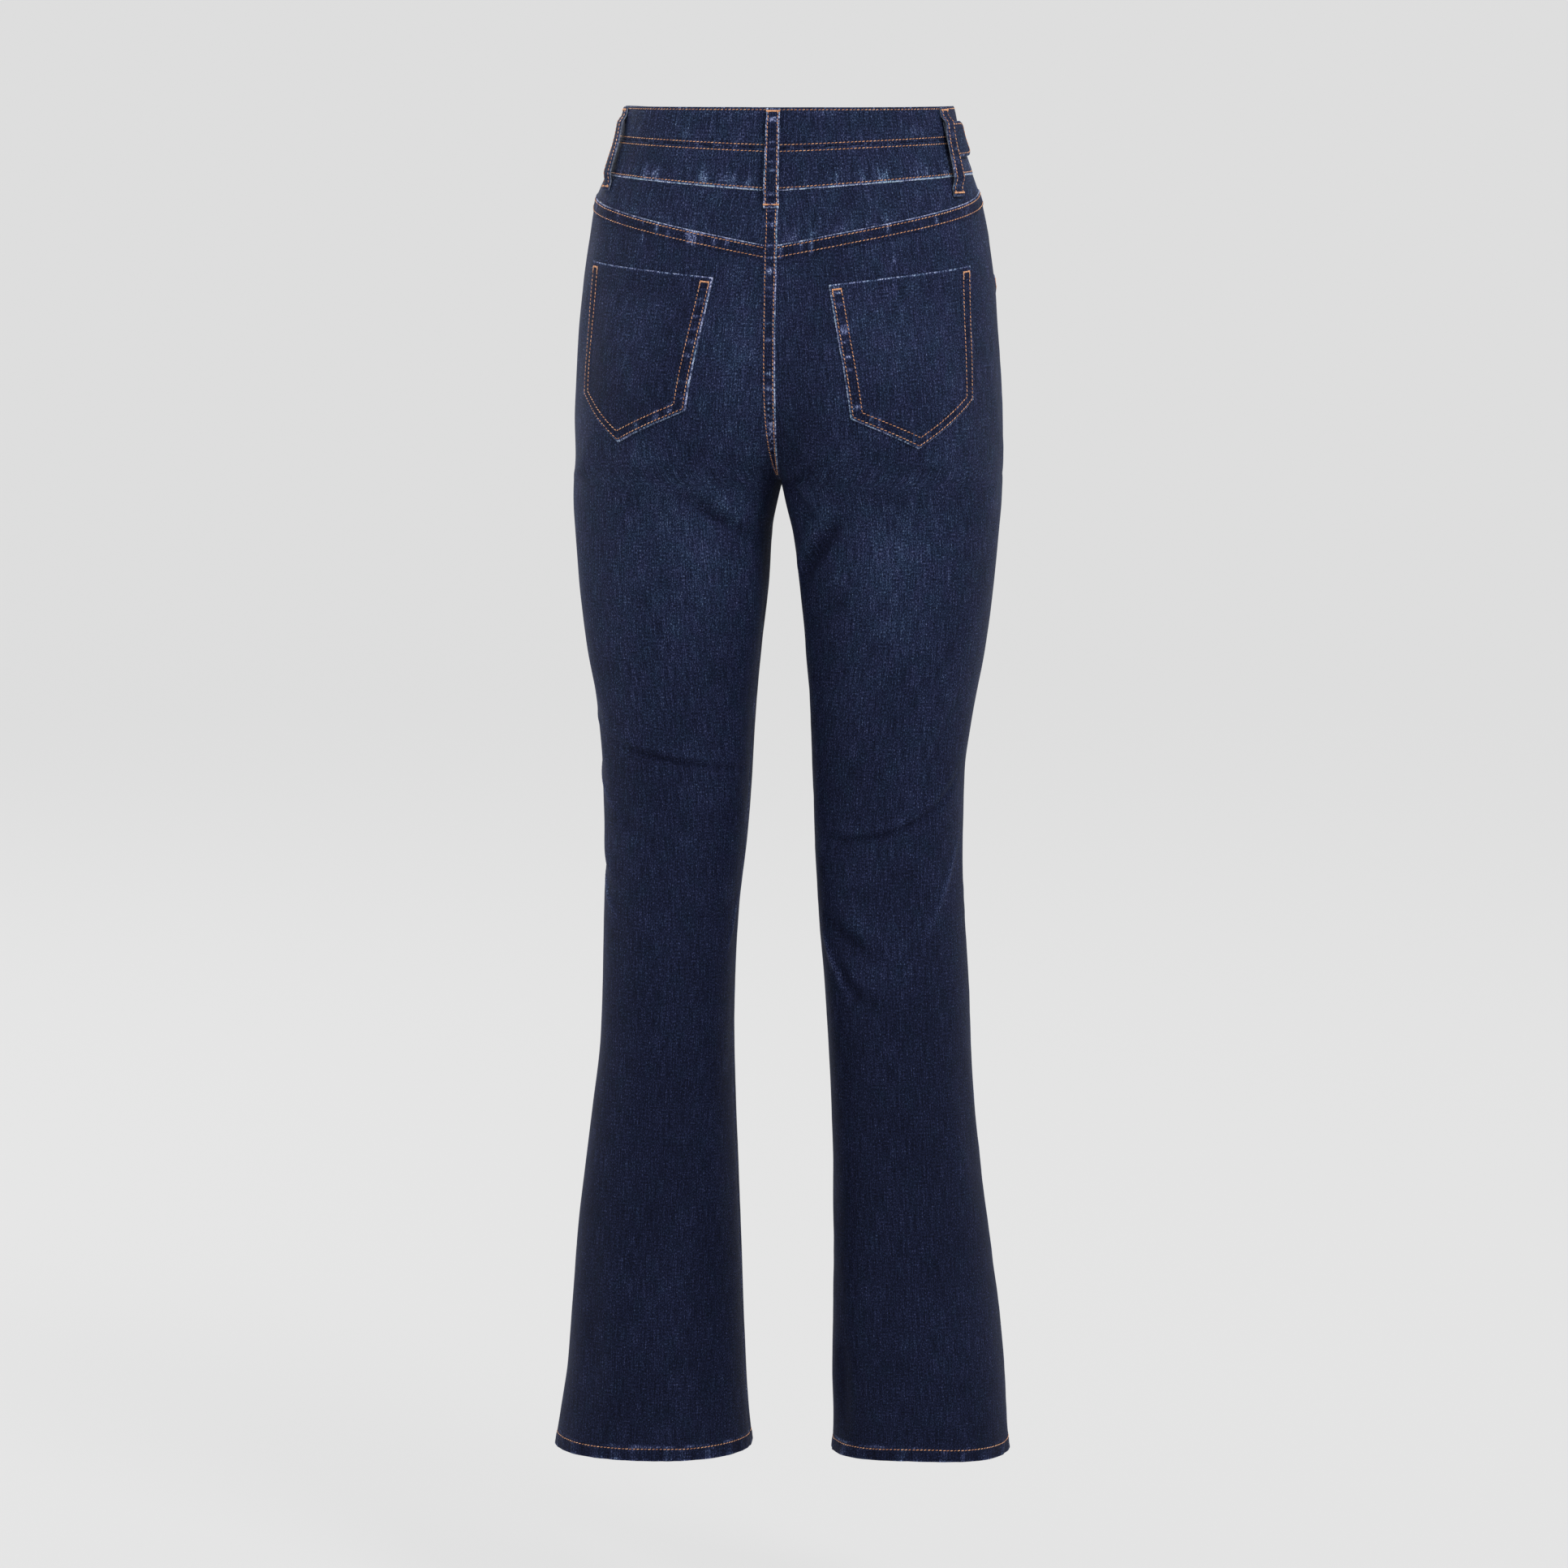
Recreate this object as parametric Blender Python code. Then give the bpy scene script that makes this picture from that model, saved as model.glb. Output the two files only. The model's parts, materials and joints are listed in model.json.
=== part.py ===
"""Bootcut jeans, filled out as worn: a hollow garment with its waist and both hems open.

Metres, +Z up. The origin is the centre of the waist opening, level with the top of the
waistband at the back. The front faces -Y, the back +Y, and the wearer's left is +X.

Every piece is a wall on one surface. Each half of the garment is a family of level rings.
Above the crotch a ring is cut off at the centre line, and below it the ring is a whole leg.
A place on a half is given by u and z: u runs along the ring from 0 at the centre front (or
the inseam) over the side to 1 at the centre back (or the inseam again).
"""

import bpy
import numpy as np

MM = 0.001

# Cloth and seams
CLOTH = 0.0014
BAND_CLOTH = 0.0026
HEM_CLOTH = 0.0026
HEM_HEIGHT = 0.011
SEAM_GAP = 0.0003
PATCH_GAP = 0.0006

# Lengths down from the top of the waistband
CROTCH_Z = -0.297
HEM_Z = -1.093
BAND_TOP = {"front": -0.012, "side": 0.0, "back": 0.0}
BAND_JOIN = {"front": -0.037, "side": -0.026, "back": -0.032}
BAND_LOW = {"front": -0.064, "side": -0.054, "back": -0.0655}
YOKE_SIDE_Z = -0.066
YOKE_BACK_Z = -0.108

# Where the side seam runs, as a share of the ring: the back panel is the wider one
SIDE_SEAM = 0.485

# Sections in millimetres, one row for each level. outer and inner are distances from the
# centre plane, and a minus sign on inner means that the ring reaches past it and is cut there.
# front and back are the ring's ends in Y, side_y and inner_y where it is widest.
SECTION_COLUMNS = ("z", "outer_left", "inner_left", "outer_right", "inner_right",
                   "front", "back", "side_y", "inner_y")
SECTIONS = (
    (10, 127.5, -127.5, 127.5, -127.5, -91, 93, 0, 0),
    (0, 131, -131, 131, -131, -93, 96, 0, 0),
    (-26, 137, -137, 137, -137, -97, 100, 2, 2),
    (-52, 146.5, -146.5, 146.5, -146.5, -101, 105, 4, 4),
    (-77, 155.5, -155.5, 155.5, -155.5, -103, 110, 7, 8),
    (-105, 159, -159, 161, -161, -105, 116, 10, 14),
    (-142, 164, -158, 166, -158, -105, 123, 13, 22),
    (-180, 167.5, -132, 169, -132, -104, 129, 15, 30),
    (-220, 169.5, -82, 171.5, -82, -101, 131, 16, 37),
    (-255, 171, -36, 173, -36, -97, 128, 16, 42),
    (-280, 171, -10, 173.5, -10, -92, 123, 16, 45),
    (-297, 171.5, 0.2, 173.5, 0.2, -89, 118, 16, 45),
    (-314, 172, 5, 173, 4, -87, 113, 16, 45),
    (-340, 171, 10.5, 171, 9.5, -84, 107, 16, 42),
    (-380, 168.5, 13.5, 167, 14, -80, 100, 17, 38),
    (-433, 162, 20, 160, 18, -73, 93, 18, 33),
    (-486, 153.5, 25.5, 150, 21.5, -64, 88, 19, 30),
    (-539, 149, 29, 144, 23.5, -53, 82, 20, 28),
    (-593, 147.5, 33, 143, 24.5, -45, 78, 20, 26),
    (-646, 148, 38.5, 145, 27.5, -40, 79, 21, 25),
    (-700, 149, 42, 148, 33, -37, 83, 22, 25),
    (-754, 151.5, 43.5, 150, 36.5, -38, 85, 22, 25),
    (-808, 158.5, 42.5, 153.5, 38.5, -41, 85, 21, 24),
    (-863, 165.5, 40.5, 159, 39.5, -45, 86, 20, 22),
    (-917, 172, 38.5, 166, 39.5, -49, 87, 19, 20),
    (-972, 176.5, 37, 172.5, 39.5, -53, 88, 18, 18),
    (-1027, 180.5, 35, 177.5, 39.5, -56, 89, 17, 17),
    (-1054, 184.5, 33.5, 179.5, 40, -57, 89, 17, 16),
    (-1096, 191.5, 29.5, 183, 37.5, -58, 89, 17, 15),
    (-1110, 194, 28, 184, 36.5, -58, 89, 17, 15),
)
SQUARENESS = 2.2  # 2 would be an ellipse

# Rounded forms, as soft swellings: where they are centred, how far they reach, how high they are
FORM_COLUMNS = ("u", "z", "reach_u", "reach_z", "height")
FORMS = (
    (0.80, -0.215, 0.13, 0.060, 0.0080),   # seat
    (0.995, -0.215, 0.05, 0.060, -0.0035),  # hollow along the centre back seam
    (0.79, -0.330, 0.10, 0.030, -0.0040),  # under the seat
    (0.20, -0.120, 0.14, 0.060, 0.0030),   # belly
    (0.22, -0.560, 0.14, 0.060, 0.0040),   # knee
    (0.76, -0.700, 0.16, 0.070, 0.0040),   # calf
)

# Folds, each a soft trough from one place to another.
# bow is how far its middle hangs below the straight line between its ends.
FOLD_COLUMNS = ("u0", "z0", "u1", "z1", "bow", "width", "depth")
FOLDS = {
    "left": (
        (0.808, -0.3035, 0.930, -0.3450, 0.0010, 0.010, -0.0046),
        (0.545, -0.4890, 0.950, -0.5300, 0.0090, 0.010, -0.0036),
        (0.650, -0.5600, 0.775, -0.5970, 0.0020, 0.010, -0.0014),
        (0.500, -0.5900, 0.640, -0.6300, 0.0040, 0.010, -0.0016),
        (0.060, -0.3350, 0.300, -0.3000, 0.0030, 0.011, -0.0045),
        (0.050, -0.3560, 0.240, -0.3450, 0.0020, 0.010, -0.0032),
        (0.180, -0.5200, 0.420, -0.5000, 0.0080, 0.011, -0.0030),
        (0.120, -0.6100, 0.380, -0.6320, 0.0060, 0.012, -0.0034),
    ),
    "right": (
        (0.945, -0.3760, 0.838, -0.3225, 0.0010, 0.010, -0.0050),
        (0.915, -0.5810, 0.590, -0.5280, 0.0230, 0.010, -0.0026),
        (0.905, -0.6420, 0.770, -0.6840, 0.0000, 0.010, -0.0024),
        (0.880, -0.6830, 0.775, -0.7250, 0.0000, 0.010, -0.0017),
        (0.893, -0.9850, 0.895, -1.0800, 0.0000, 0.012, -0.0026),
        (0.070, -0.3420, 0.290, -0.3050, 0.0030, 0.011, -0.0045),
        (0.060, -0.3640, 0.220, -0.3500, 0.0020, 0.010, -0.0028),
        (0.150, -0.5150, 0.400, -0.5050, 0.0080, 0.011, -0.0030),
        (0.130, -0.6000, 0.350, -0.6280, 0.0060, 0.012, -0.0034),
    ),
}
FOLD_FREE_EDGE = 0.03   # share of the ring beside the inseam that has no folds
CENTRE_REACH = 0.05     # share of the ring beside the centre seam that stays on the centre line

# The right hem hangs a little higher than the left one, most at the back
HEM_RISE_Z = -1.030
HEM_RISE_U = 0.745
HEM_RISE_REACH = 0.13
HEM_RISE = {"left": (0.0, 0.0), "right": (0.0025, 0.0041)}  # all round, and more at the back

# Front pocket mouth and fly
MOUTH_WIDTH = 0.21      # share of the ring, at the waistband
MOUTH_BOTTOM_Z = -0.135
FACING_UNDERLAP = 0.04  # share of the ring
FACING_GAP = 0.0009
FLY_SHIELD_WIDTH = 0.036
FLY_SHIELD_BOTTOM_Z = -0.165
UNDERLAP = 0.034

# The waistband stands a little proud of the panels below it
BAND_PROUD = 0.0006
BAND_STEP_UNDER = 0.0005
BAND_STEP_RUN = 0.010

# Back patch pockets, flat sizes
POCKET_COLUMNS = ("from_centre", "top_z", "width", "side_height", "tip_height", "slope",
                  "lean", "tip_at")
POCKETS = {
    "left": (0.0450, -0.1330, 0.1235, 0.105, 0.1370, -0.085, -0.11, 0.545),
    "right": (0.0465, -0.1385, 0.1235, 0.105, 0.1355, -0.110, -0.11, 0.500),
}
POCKET_TAPER = 0.87     # bottom width over top width

# Belt loops: the side, where the top and the bottom are on the ring, and the lower end
LOOP_WIDTH = 0.011
LOOP_CLOTH = 0.0020
LOOP_END = 0.008
LOOP_DROP = 0.001
LOOP_COLUMNS = ("side", "u_top", "u_bottom", "bottom_z", "lift")
LOOPS = {
    "belt_loop_centre_back": ("left", 1.0, 1.0, -0.079, 0.0032),
    "belt_loop_back_left": ("left", 0.588, 0.622, -0.067, 0.0028),
    "belt_loop_back_right": ("right", 0.588, 0.622, -0.071, 0.0042),
    "belt_loop_front_left": ("left", 0.250, 0.245, -0.075, 0.0032),
    "belt_loop_front_right": ("right", 0.250, 0.245, -0.075, 0.0032),
}

# Side tab, under the loop at the back right
TAB_U = (0.600, 0.500)
TAB_Z = (-0.0125, -0.0405)
TAB_CLOTH = 0.0018
TAB_LIFT = 0.0026       # how far its free end stands off the band

# Shank buttons on the fly end of the two bands
BUTTON_RADIUS = 0.0085
BUTTON_HEIGHT = 0.0038
BUTTON_X = 0.015

# How finely the walls are divided
PANEL_COLUMNS = 12
RINGS_ABOVE_CROTCH = 13
RINGS_AT_MOUTH = 10
RINGS_UNDER_MOUTH = 8
RING_STEP = 0.030

DENIM = (0.016, 0.027, 0.062, 1.0)
METAL = (0.55, 0.33, 0.20, 1.0)


def smooth_between(knots, values, at):
    """A curve through the values that never swings past them (monotone cubic)."""
    slopes = np.diff(values) / np.diff(knots)
    tangents = np.zeros(len(knots))
    tangents[0], tangents[-1] = slopes[0], slopes[-1]
    before, after = slopes[:-1], slopes[1:]
    same_way = before * after > 0
    total = np.where(same_way, before + after, 1.0)
    tangents[1:-1] = np.where(same_way, 2 * before * after / total, 0.0)
    at = np.clip(at, knots[0], knots[-1])
    i = np.clip(np.searchsorted(knots, at) - 1, 0, len(knots) - 2)
    step = knots[i + 1] - knots[i]
    t = (at - knots[i]) / step
    return (values[i] * (1 + 2 * t) * (1 - t) ** 2 + values[i + 1] * t * t * (3 - 2 * t)
            + step * (tangents[i] * t * (1 - t) ** 2 - tangents[i + 1] * t * t * (1 - t)))


def section(side, z):
    """The ring's sizes at a level: outer, inner, front, back, side_y, inner_y."""
    table = np.array(SECTIONS[::-1]) * MM
    names = ("outer_" + side, "inner_" + side, "front", "back", "side_y", "inner_y")
    columns = [SECTION_COLUMNS.index(name) for name in names]
    return [smooth_between(table[:, 0], table[:, column], z) for column in columns]


def cut_angle(side, z):
    """How far round from the outer side a ring goes before it meets the centre line."""
    outer, inner = section(side, z)[:2]
    centre, half = (outer + inner) / 2, (outer - inner) / 2
    share = np.clip(centre / half, 0.0, 1.0)
    return np.where(inner >= 0, np.pi, np.pi / 2 + np.arcsin(share ** (SQUARENESS / 2)))


def ring_point(side, angle, z):
    """A point of the plain ring, before forms and folds, on the +X half."""
    outer, inner, front, back, side_y, inner_y = section(side, z)
    c, s = np.cos(angle), np.sin(angle)
    x = (outer + inner) / 2 + (outer - inner) / 2 * np.sign(c) * np.abs(c) ** (2 / SQUARENESS)
    middle = (side_y + inner_y) / 2
    reach = np.where(s < 0, middle - front, back - middle)
    y = middle + (side_y - inner_y) / 2 * c + reach * np.sign(s) * np.abs(s) ** (2 / SQUARENESS)
    return np.stack(np.broadcast_arrays(x, y, z), -1)


class Half:
    """One half of the garment: turns places u, z into points and outward directions."""

    LEVELS = np.linspace(-1.11, 0.01, 225)
    SHARES = np.linspace(0, 1, 97)

    def __init__(self, side):
        self.side = side
        self.sign = 1 if side == "left" else -1
        turns = np.linspace(-1, 1, 385)
        cut = cut_angle(side, self.LEVELS)[:, None]
        line = ring_point(side, turns[None, :] * cut, self.LEVELS[:, None])
        steps = np.linalg.norm(np.diff(line, axis=1), axis=2)
        run = np.concatenate([np.zeros((len(steps), 1)), np.cumsum(steps, axis=1)], axis=1)
        self.lengths = run[:, -1]
        self.turns = np.array([np.interp(self.SHARES * total, row, turns)
                               for row, total in zip(run, self.lengths)])

    def length(self, z):
        """The length of the ring at a level."""
        return np.interp(z, self.LEVELS, self.lengths)

    def angle(self, u, z):
        row = np.clip((z - self.LEVELS[0]) / (self.LEVELS[1] - self.LEVELS[0]), 0,
                      len(self.LEVELS) - 1.001)
        column = np.clip(u, 0, 1) * (len(self.SHARES) - 1.001)
        i, j = row.astype(int), column.astype(int)
        a, b = row - i, column - j
        turn = ((1 - a) * ((1 - b) * self.turns[i, j] + b * self.turns[i, j + 1])
                + a * ((1 - b) * self.turns[i + 1, j] + b * self.turns[i + 1, j + 1]))
        return turn * cut_angle(self.side, z)

    def height(self, u, z):
        """How far the cloth stands out from the plain ring: rounded forms and folds."""
        total = np.zeros(np.broadcast(u, z).shape)
        for row in FORMS:
            form = dict(zip(FORM_COLUMNS, row))
            total += form["height"] * np.exp(-((u - form["u"]) / form["reach_u"]) ** 2
                                             - ((z - form["z"]) / form["reach_z"]) ** 2)
        free = np.clip(np.minimum(u, 1 - u) / FOLD_FREE_EDGE, 0, 1)
        free = free * free * (3 - 2 * free)
        for row in FOLDS[self.side]:
            fold = dict(zip(FOLD_COLUMNS, row))
            around = self.length((fold["z0"] + fold["z1"]) / 2)
            run_u, run_z = (fold["u1"] - fold["u0"]) * around, fold["z1"] - fold["z0"]
            long = np.hypot(run_u, run_z)
            du, dz = (u - fold["u0"]) * around, z - fold["z0"]
            along = np.clip((du * run_u + dz * run_z) / long ** 2, 0, 1)
            above = (dz * run_u - du * run_z) / long * np.sign(run_u)
            above = above + 4 * fold["bow"] * along * (1 - along)
            share = np.sin(np.pi * along) ** 0.8
            total += fold["depth"] * free * share * np.exp(-(above / fold["width"]) ** 2)
        return total

    def hem_rise(self, u, z):
        """How much higher than level the cloth near the hem hangs."""
        all_round, at_back = HEM_RISE[self.side]
        share = np.clip((HEM_RISE_Z - z) / (HEM_RISE_Z - HEM_Z), 0, 1)
        back = np.exp(-((u - HEM_RISE_U) / HEM_RISE_REACH) ** 2)
        return share * share * (3 - 2 * share) * (all_round + at_back * back)

    def surface(self, u, z, out=0.0):
        """Points at the places u, z, moved out from the cloth's face by the distance out."""
        u, z, out = np.broadcast_arrays(np.asarray(u, float), np.asarray(z, float),
                                        np.asarray(out, float))
        z = z + self.hem_rise(u, z)
        angle = self.angle(u, z)
        small = 1e-4
        around = (ring_point(self.side, angle + small, z)
                  - ring_point(self.side, angle - small, z))
        down = (ring_point(self.side, angle, z - small)
                - ring_point(self.side, angle, z + small))
        normal = np.cross(down, around)
        normal /= np.maximum(np.linalg.norm(normal, axis=-1, keepdims=True), 1e-12)
        # Forms and folds don't move the cloth away from the centre seam
        level = normal.copy()
        centre = np.clip(np.minimum(u, 1 - u) / CENTRE_REACH, 0, 1)
        level[..., 0] *= np.where(z > CROTCH_Z, centre, 1.0)
        point = ring_point(self.side, angle, z)
        point = point + level * self.height(u, z)[..., None] + normal * out[..., None]
        point[..., 0] = np.maximum(point[..., 0], SEAM_GAP / 2)
        point[..., 0] *= self.sign
        return point


def along_waist(line, u):
    """A waist line's level at u, from its levels at the front, the side and the back."""
    knots = np.array([0.0, 0.5, 1.0])
    return smooth_between(knots, np.array([line["front"], line["side"], line["back"]]),
                          np.asarray(u, float))


def yoke_line(u):
    share = np.clip((np.asarray(u, float) - SIDE_SEAM) / (1 - SIDE_SEAM), 0, 1)
    return YOKE_SIDE_Z + (YOKE_BACK_Z - YOKE_SIDE_Z) * share


def mouth_top():
    return along_waist(BAND_LOW, SIDE_SEAM - MOUTH_WIDTH) - SEAM_GAP


def mouth_edge(z):
    """Where the front panel stops at the side: at the pocket mouth, or at the side seam."""
    share = np.clip((mouth_top() - z) / (mouth_top() - MOUTH_BOTTOM_Z), 0, 1)
    return SIDE_SEAM - MOUTH_WIDTH * np.sqrt(1 - share ** 2)


def material(name, colour, roughness, metallic=0.0):
    made = bpy.data.materials.new(name)
    made.use_nodes = True
    shader = made.node_tree.nodes["Principled BSDF"]
    shader.inputs["Base Color"].default_value = colour
    shader.inputs["Roughness"].default_value = roughness
    shader.inputs["Metallic"].default_value = metallic
    return made


def add_solid(name, points, faces, colour=DENIM, roughness=0.85, metallic=0.0):
    """One closed body from its points and faces, its faces turned to point out."""
    points = np.asarray(points, float)
    volume = 0.0
    for face in faces:
        for k in range(1, len(face) - 1):
            volume += np.linalg.det(points[[face[0], face[k], face[k + 1]]])
    if volume < 0:
        faces = [face[::-1] for face in faces]
    mesh = bpy.data.meshes.new(name)
    mesh.from_pydata([tuple(p) for p in points], [], faces)
    mesh.validate()
    mesh.shade_smooth()
    mesh.set_sharp_from_angle(angle=0.7)
    solid = bpy.data.objects.new(name, mesh)
    solid.data.materials.append(material(name, colour, roughness, metallic))
    bpy.context.scene.collection.objects.link(solid)
    return solid


def add_wall(name, outer, inner, **looks):
    """A closed wall between two grids of points, rows by columns."""
    rows, columns = outer.shape[:2]
    count = rows * columns
    index = np.arange(count).reshape(rows, columns)
    faces = []
    for i in range(rows - 1):
        for j in range(columns - 1):
            a, b, c, d = index[i, j], index[i, j + 1], index[i + 1, j + 1], index[i + 1, j]
            faces.append((a, b, c, d))
            faces.append((a + count, d + count, c + count, b + count))
    rim = ([(0, j) for j in range(columns)] + [(i, columns - 1) for i in range(1, rows)]
           + [(rows - 1, j) for j in range(columns - 2, -1, -1)]
           + [(i, 0) for i in range(rows - 2, 0, -1)])
    for k, place in enumerate(rim):
        a, b = index[place], index[rim[(k + 1) % len(rim)]]
        faces.append((b, a, a + count, b + count))
    faces = [tuple(int(v) for v in face) for face in faces]
    return add_solid(name, np.concatenate([outer.reshape(-1, 3), inner.reshape(-1, 3)]),
                     faces, **looks)


def closing_in(count):
    """Shares from 0 to 1 whose steps grow smaller, as the rings do towards the crotch."""
    return 1 - (1 - np.linspace(0, 1, count)) ** 1.6


def rings_down(top, shares):
    """Levels from a top edge to the hem: one row for each ring, one column for each top."""
    above = top[None, :] + (CROTCH_Z - top[None, :]) * shares[:, None]
    near = CROTCH_Z - np.array([0.006, 0.016, 0.030])
    hem_top = HEM_Z + HEM_HEIGHT
    plain = np.linspace(near[-1], hem_top, int((near[-1] - hem_top) / RING_STEP) + 1)[1:]
    below = np.concatenate([near, plain, [hem_top - 0.0012, HEM_Z]])
    return np.concatenate([above, np.repeat(below[:, None], len(top), axis=1)])


def panel_wall(half, name, u, z):
    """A leg panel's wall. The turned hem is thicker, on the inside."""
    edge = SEAM_GAP / 2 / half.length(z)
    u = np.clip(u, edge, 1 - edge)
    deep = np.where(z < HEM_Z + HEM_HEIGHT - 0.0006, HEM_CLOTH, CLOTH)
    return add_wall(name, half.surface(u, z), half.surface(u, z, -deep))


def build_back(half):
    share = np.linspace(0, 1, PANEL_COLUMNS + 1)
    u_top = SIDE_SEAM + (1 - SIDE_SEAM) * share
    z = rings_down(yoke_line(u_top) - SEAM_GAP, closing_in(RINGS_ABOVE_CROTCH))
    edge = SEAM_GAP / 2 / half.length(z)
    u = SIDE_SEAM + edge + (1 - SIDE_SEAM - edge) * share[None, :]
    panel_wall(half, "back_" + half.side, u, z)


def build_front(half):
    share = np.linspace(0, 1, PANEL_COLUMNS + 1)
    side_edge = SIDE_SEAM - MOUTH_WIDTH
    top = along_waist(BAND_LOW, side_edge * share) - SEAM_GAP
    turn = np.linspace(0, np.pi / 2, RINGS_AT_MOUTH)
    mouth_share = (mouth_top() - MOUTH_BOTTOM_Z) / (mouth_top() - CROTCH_Z)
    at_mouth = mouth_share * np.sin(turn)
    under = mouth_share + (1 - mouth_share) * closing_in(RINGS_UNDER_MOUTH + 1)[1:]
    z = rings_down(top, np.concatenate([at_mouth, under]))
    edge = SEAM_GAP / 2 / half.length(z)
    u = (mouth_edge(z) - edge) * share[None, :]
    panel_wall(half, "front_" + half.side, u, z)


def build_yoke(half):
    share = np.linspace(0, 1, PANEL_COLUMNS + 1)
    down = np.linspace(0, 1, 4)[:, None]
    u = SIDE_SEAM + (1 - SIDE_SEAM) * share[None, :]
    top = along_waist(BAND_LOW, u) - SEAM_GAP
    z = top + (yoke_line(u) - top) * down
    edge = SEAM_GAP / 2 / half.length(z)
    u = np.clip(u, SIDE_SEAM + edge, 1 - edge)
    add_wall("yoke_" + half.side, half.surface(u, z), half.surface(u, z, -CLOTH))


def build_facing(half):
    """The cloth that shows in the front pocket mouth, under the front panel."""
    down = np.linspace(0, 1, 10)[:, None]
    across = np.linspace(0, 1, 9)[None, :]
    z = mouth_top() + (MOUTH_BOTTOM_Z - mouth_top()) * np.sin(down * np.pi / 2)
    edge = SEAM_GAP / 2 / half.length(z)
    inner_u = mouth_edge(z) - FACING_UNDERLAP
    u = inner_u + (SIDE_SEAM - edge - inner_u) * across
    z = z + (along_waist(BAND_LOW, u) - SEAM_GAP - mouth_top()) * (1 - down)
    under = CLOTH + FACING_GAP
    add_wall("front_pocket_facing_" + half.side, half.surface(u, z, -under),
             half.surface(u, z, -under - CLOTH))


def waist_run(halves, run, z, out):
    """Points on the whole waist. run goes from -1 at the centre front over the right side to
    0 at the centre back and to 1 at the centre front again, and on past -1 or 1."""
    right, left = halves["right"], halves["left"]
    on_right = ((run > -1) & (run <= 0)) | (run > 1)
    u = np.where(run <= -1, -1 - run, np.where(run <= 0, 1 + run, np.where(run <= 1, 1 - run,
                                                                            run - 1)))
    points = np.where(on_right[..., None], right.surface(u, z, out), left.surface(u, z, out))
    return points


def build_band(halves, name, top_line, low_line, drop):
    """One tier of the waistband. Its right end runs on under the left end at the fly."""
    around = halves["left"].length(-0.03)
    under = UNDERLAP / around
    step = BAND_STEP_RUN / around
    run = np.concatenate([
        np.linspace(-1 - under, -1, 5)[:-1],
        [-1 + 0.1 * step, -1 + step],
        np.linspace(-1 + 3 * step, 1 - 2 * step, 49),
        [1 - SEAM_GAP / 2 / around],
    ])[None, :]
    u = np.abs(1 - np.abs(run))
    down = np.array([0.0, 0.5, 1.0])[:, None]
    top = along_waist(top_line, u) - drop
    low = along_waist(low_line, u)
    z = top + (low - top) * down
    tucked = np.clip((-1 + step - run) / step, 0, 1)
    dip = (BAND_CLOTH + BAND_STEP_UNDER) * tucked * tucked * (3 - 2 * tucked)
    proud = BAND_PROUD - dip
    outer = waist_run(halves, run, z, proud + 0 * z)
    inner = waist_run(halves, run, z, proud - BAND_CLOTH + 0 * z)
    outer[..., 0] = np.where(np.abs(run) < 1e-9, 0.0, outer[..., 0])
    inner[..., 0] = np.where(np.abs(run) < 1e-9, 0.0, inner[..., 0])
    add_wall(name, outer, inner)


def build_fly_shield(halves):
    """The flap behind the fly, from the right front to just past the J stitch."""
    left, right = halves["left"], halves["right"]
    down = np.linspace(0, 1, 9)[:, None]
    top = along_waist(BAND_LOW, 0.0) - 0.001
    z = top + (FLY_SHIELD_BOTTOM_Z - top) * down
    around = left.length(-0.11)
    reach = np.linspace(-0.010, FLY_SHIELD_WIDTH, 7)[None, :] / around
    reach = reach * np.where(reach > 0, 1 - 0.5 * down ** 6, 1.0)
    u = np.abs(reach) + 0 * z
    z = z + 0 * reach
    depth = -CLOTH - PATCH_GAP

    def face(out):
        points = np.where((reach > 0)[..., None], left.surface(u, z, out),
                          right.surface(u, z, out))
        return points

    add_wall("fly_shield", face(depth), face(depth - CLOTH))


def flat_place(half, across, z):
    """The share u of a place that lies so far from the centre back, along the cloth."""
    return 1 - across / half.length(z)


def pocket_places(half, across, down):
    """Places on the back panel for a pocket's own flat coordinates, both from 0 to 1."""
    pocket = dict(zip(POCKET_COLUMNS, POCKETS[half.side]))
    tip_at = pocket["tip_at"]
    tip_share = np.minimum(across / tip_at, (1 - across) / (1 - tip_at))
    low = pocket["side_height"] + (pocket["tip_height"] - pocket["side_height"]) * tip_share
    fall = low * down
    taper = 1 - (1 - POCKET_TAPER) * np.clip(fall / pocket["side_height"], 0, 1)
    wide = pocket["width"] * (0.5 + (across - 0.5) * taper)
    slope, lean = pocket["slope"], pocket["lean"]
    z = pocket["top_z"] - fall * np.cos(lean) - wide * np.sin(slope)
    from_centre = pocket["from_centre"] + wide * np.cos(slope) - fall * np.sin(lean)
    return flat_place(half, from_centre, z), z


def build_back_pocket(half):
    tip_at = dict(zip(POCKET_COLUMNS, POCKETS[half.side]))["tip_at"]
    across = np.interp(np.linspace(0, 1, 13), [0, 0.5, 1], [0, tip_at, 1])[None, :]
    down = np.linspace(0, 1, 11)[:, None]
    u, z = pocket_places(half, across, down)
    add_wall("back_pocket_" + half.side, half.surface(u, z, PATCH_GAP + CLOTH),
             half.surface(u, z, PATCH_GAP))


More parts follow.
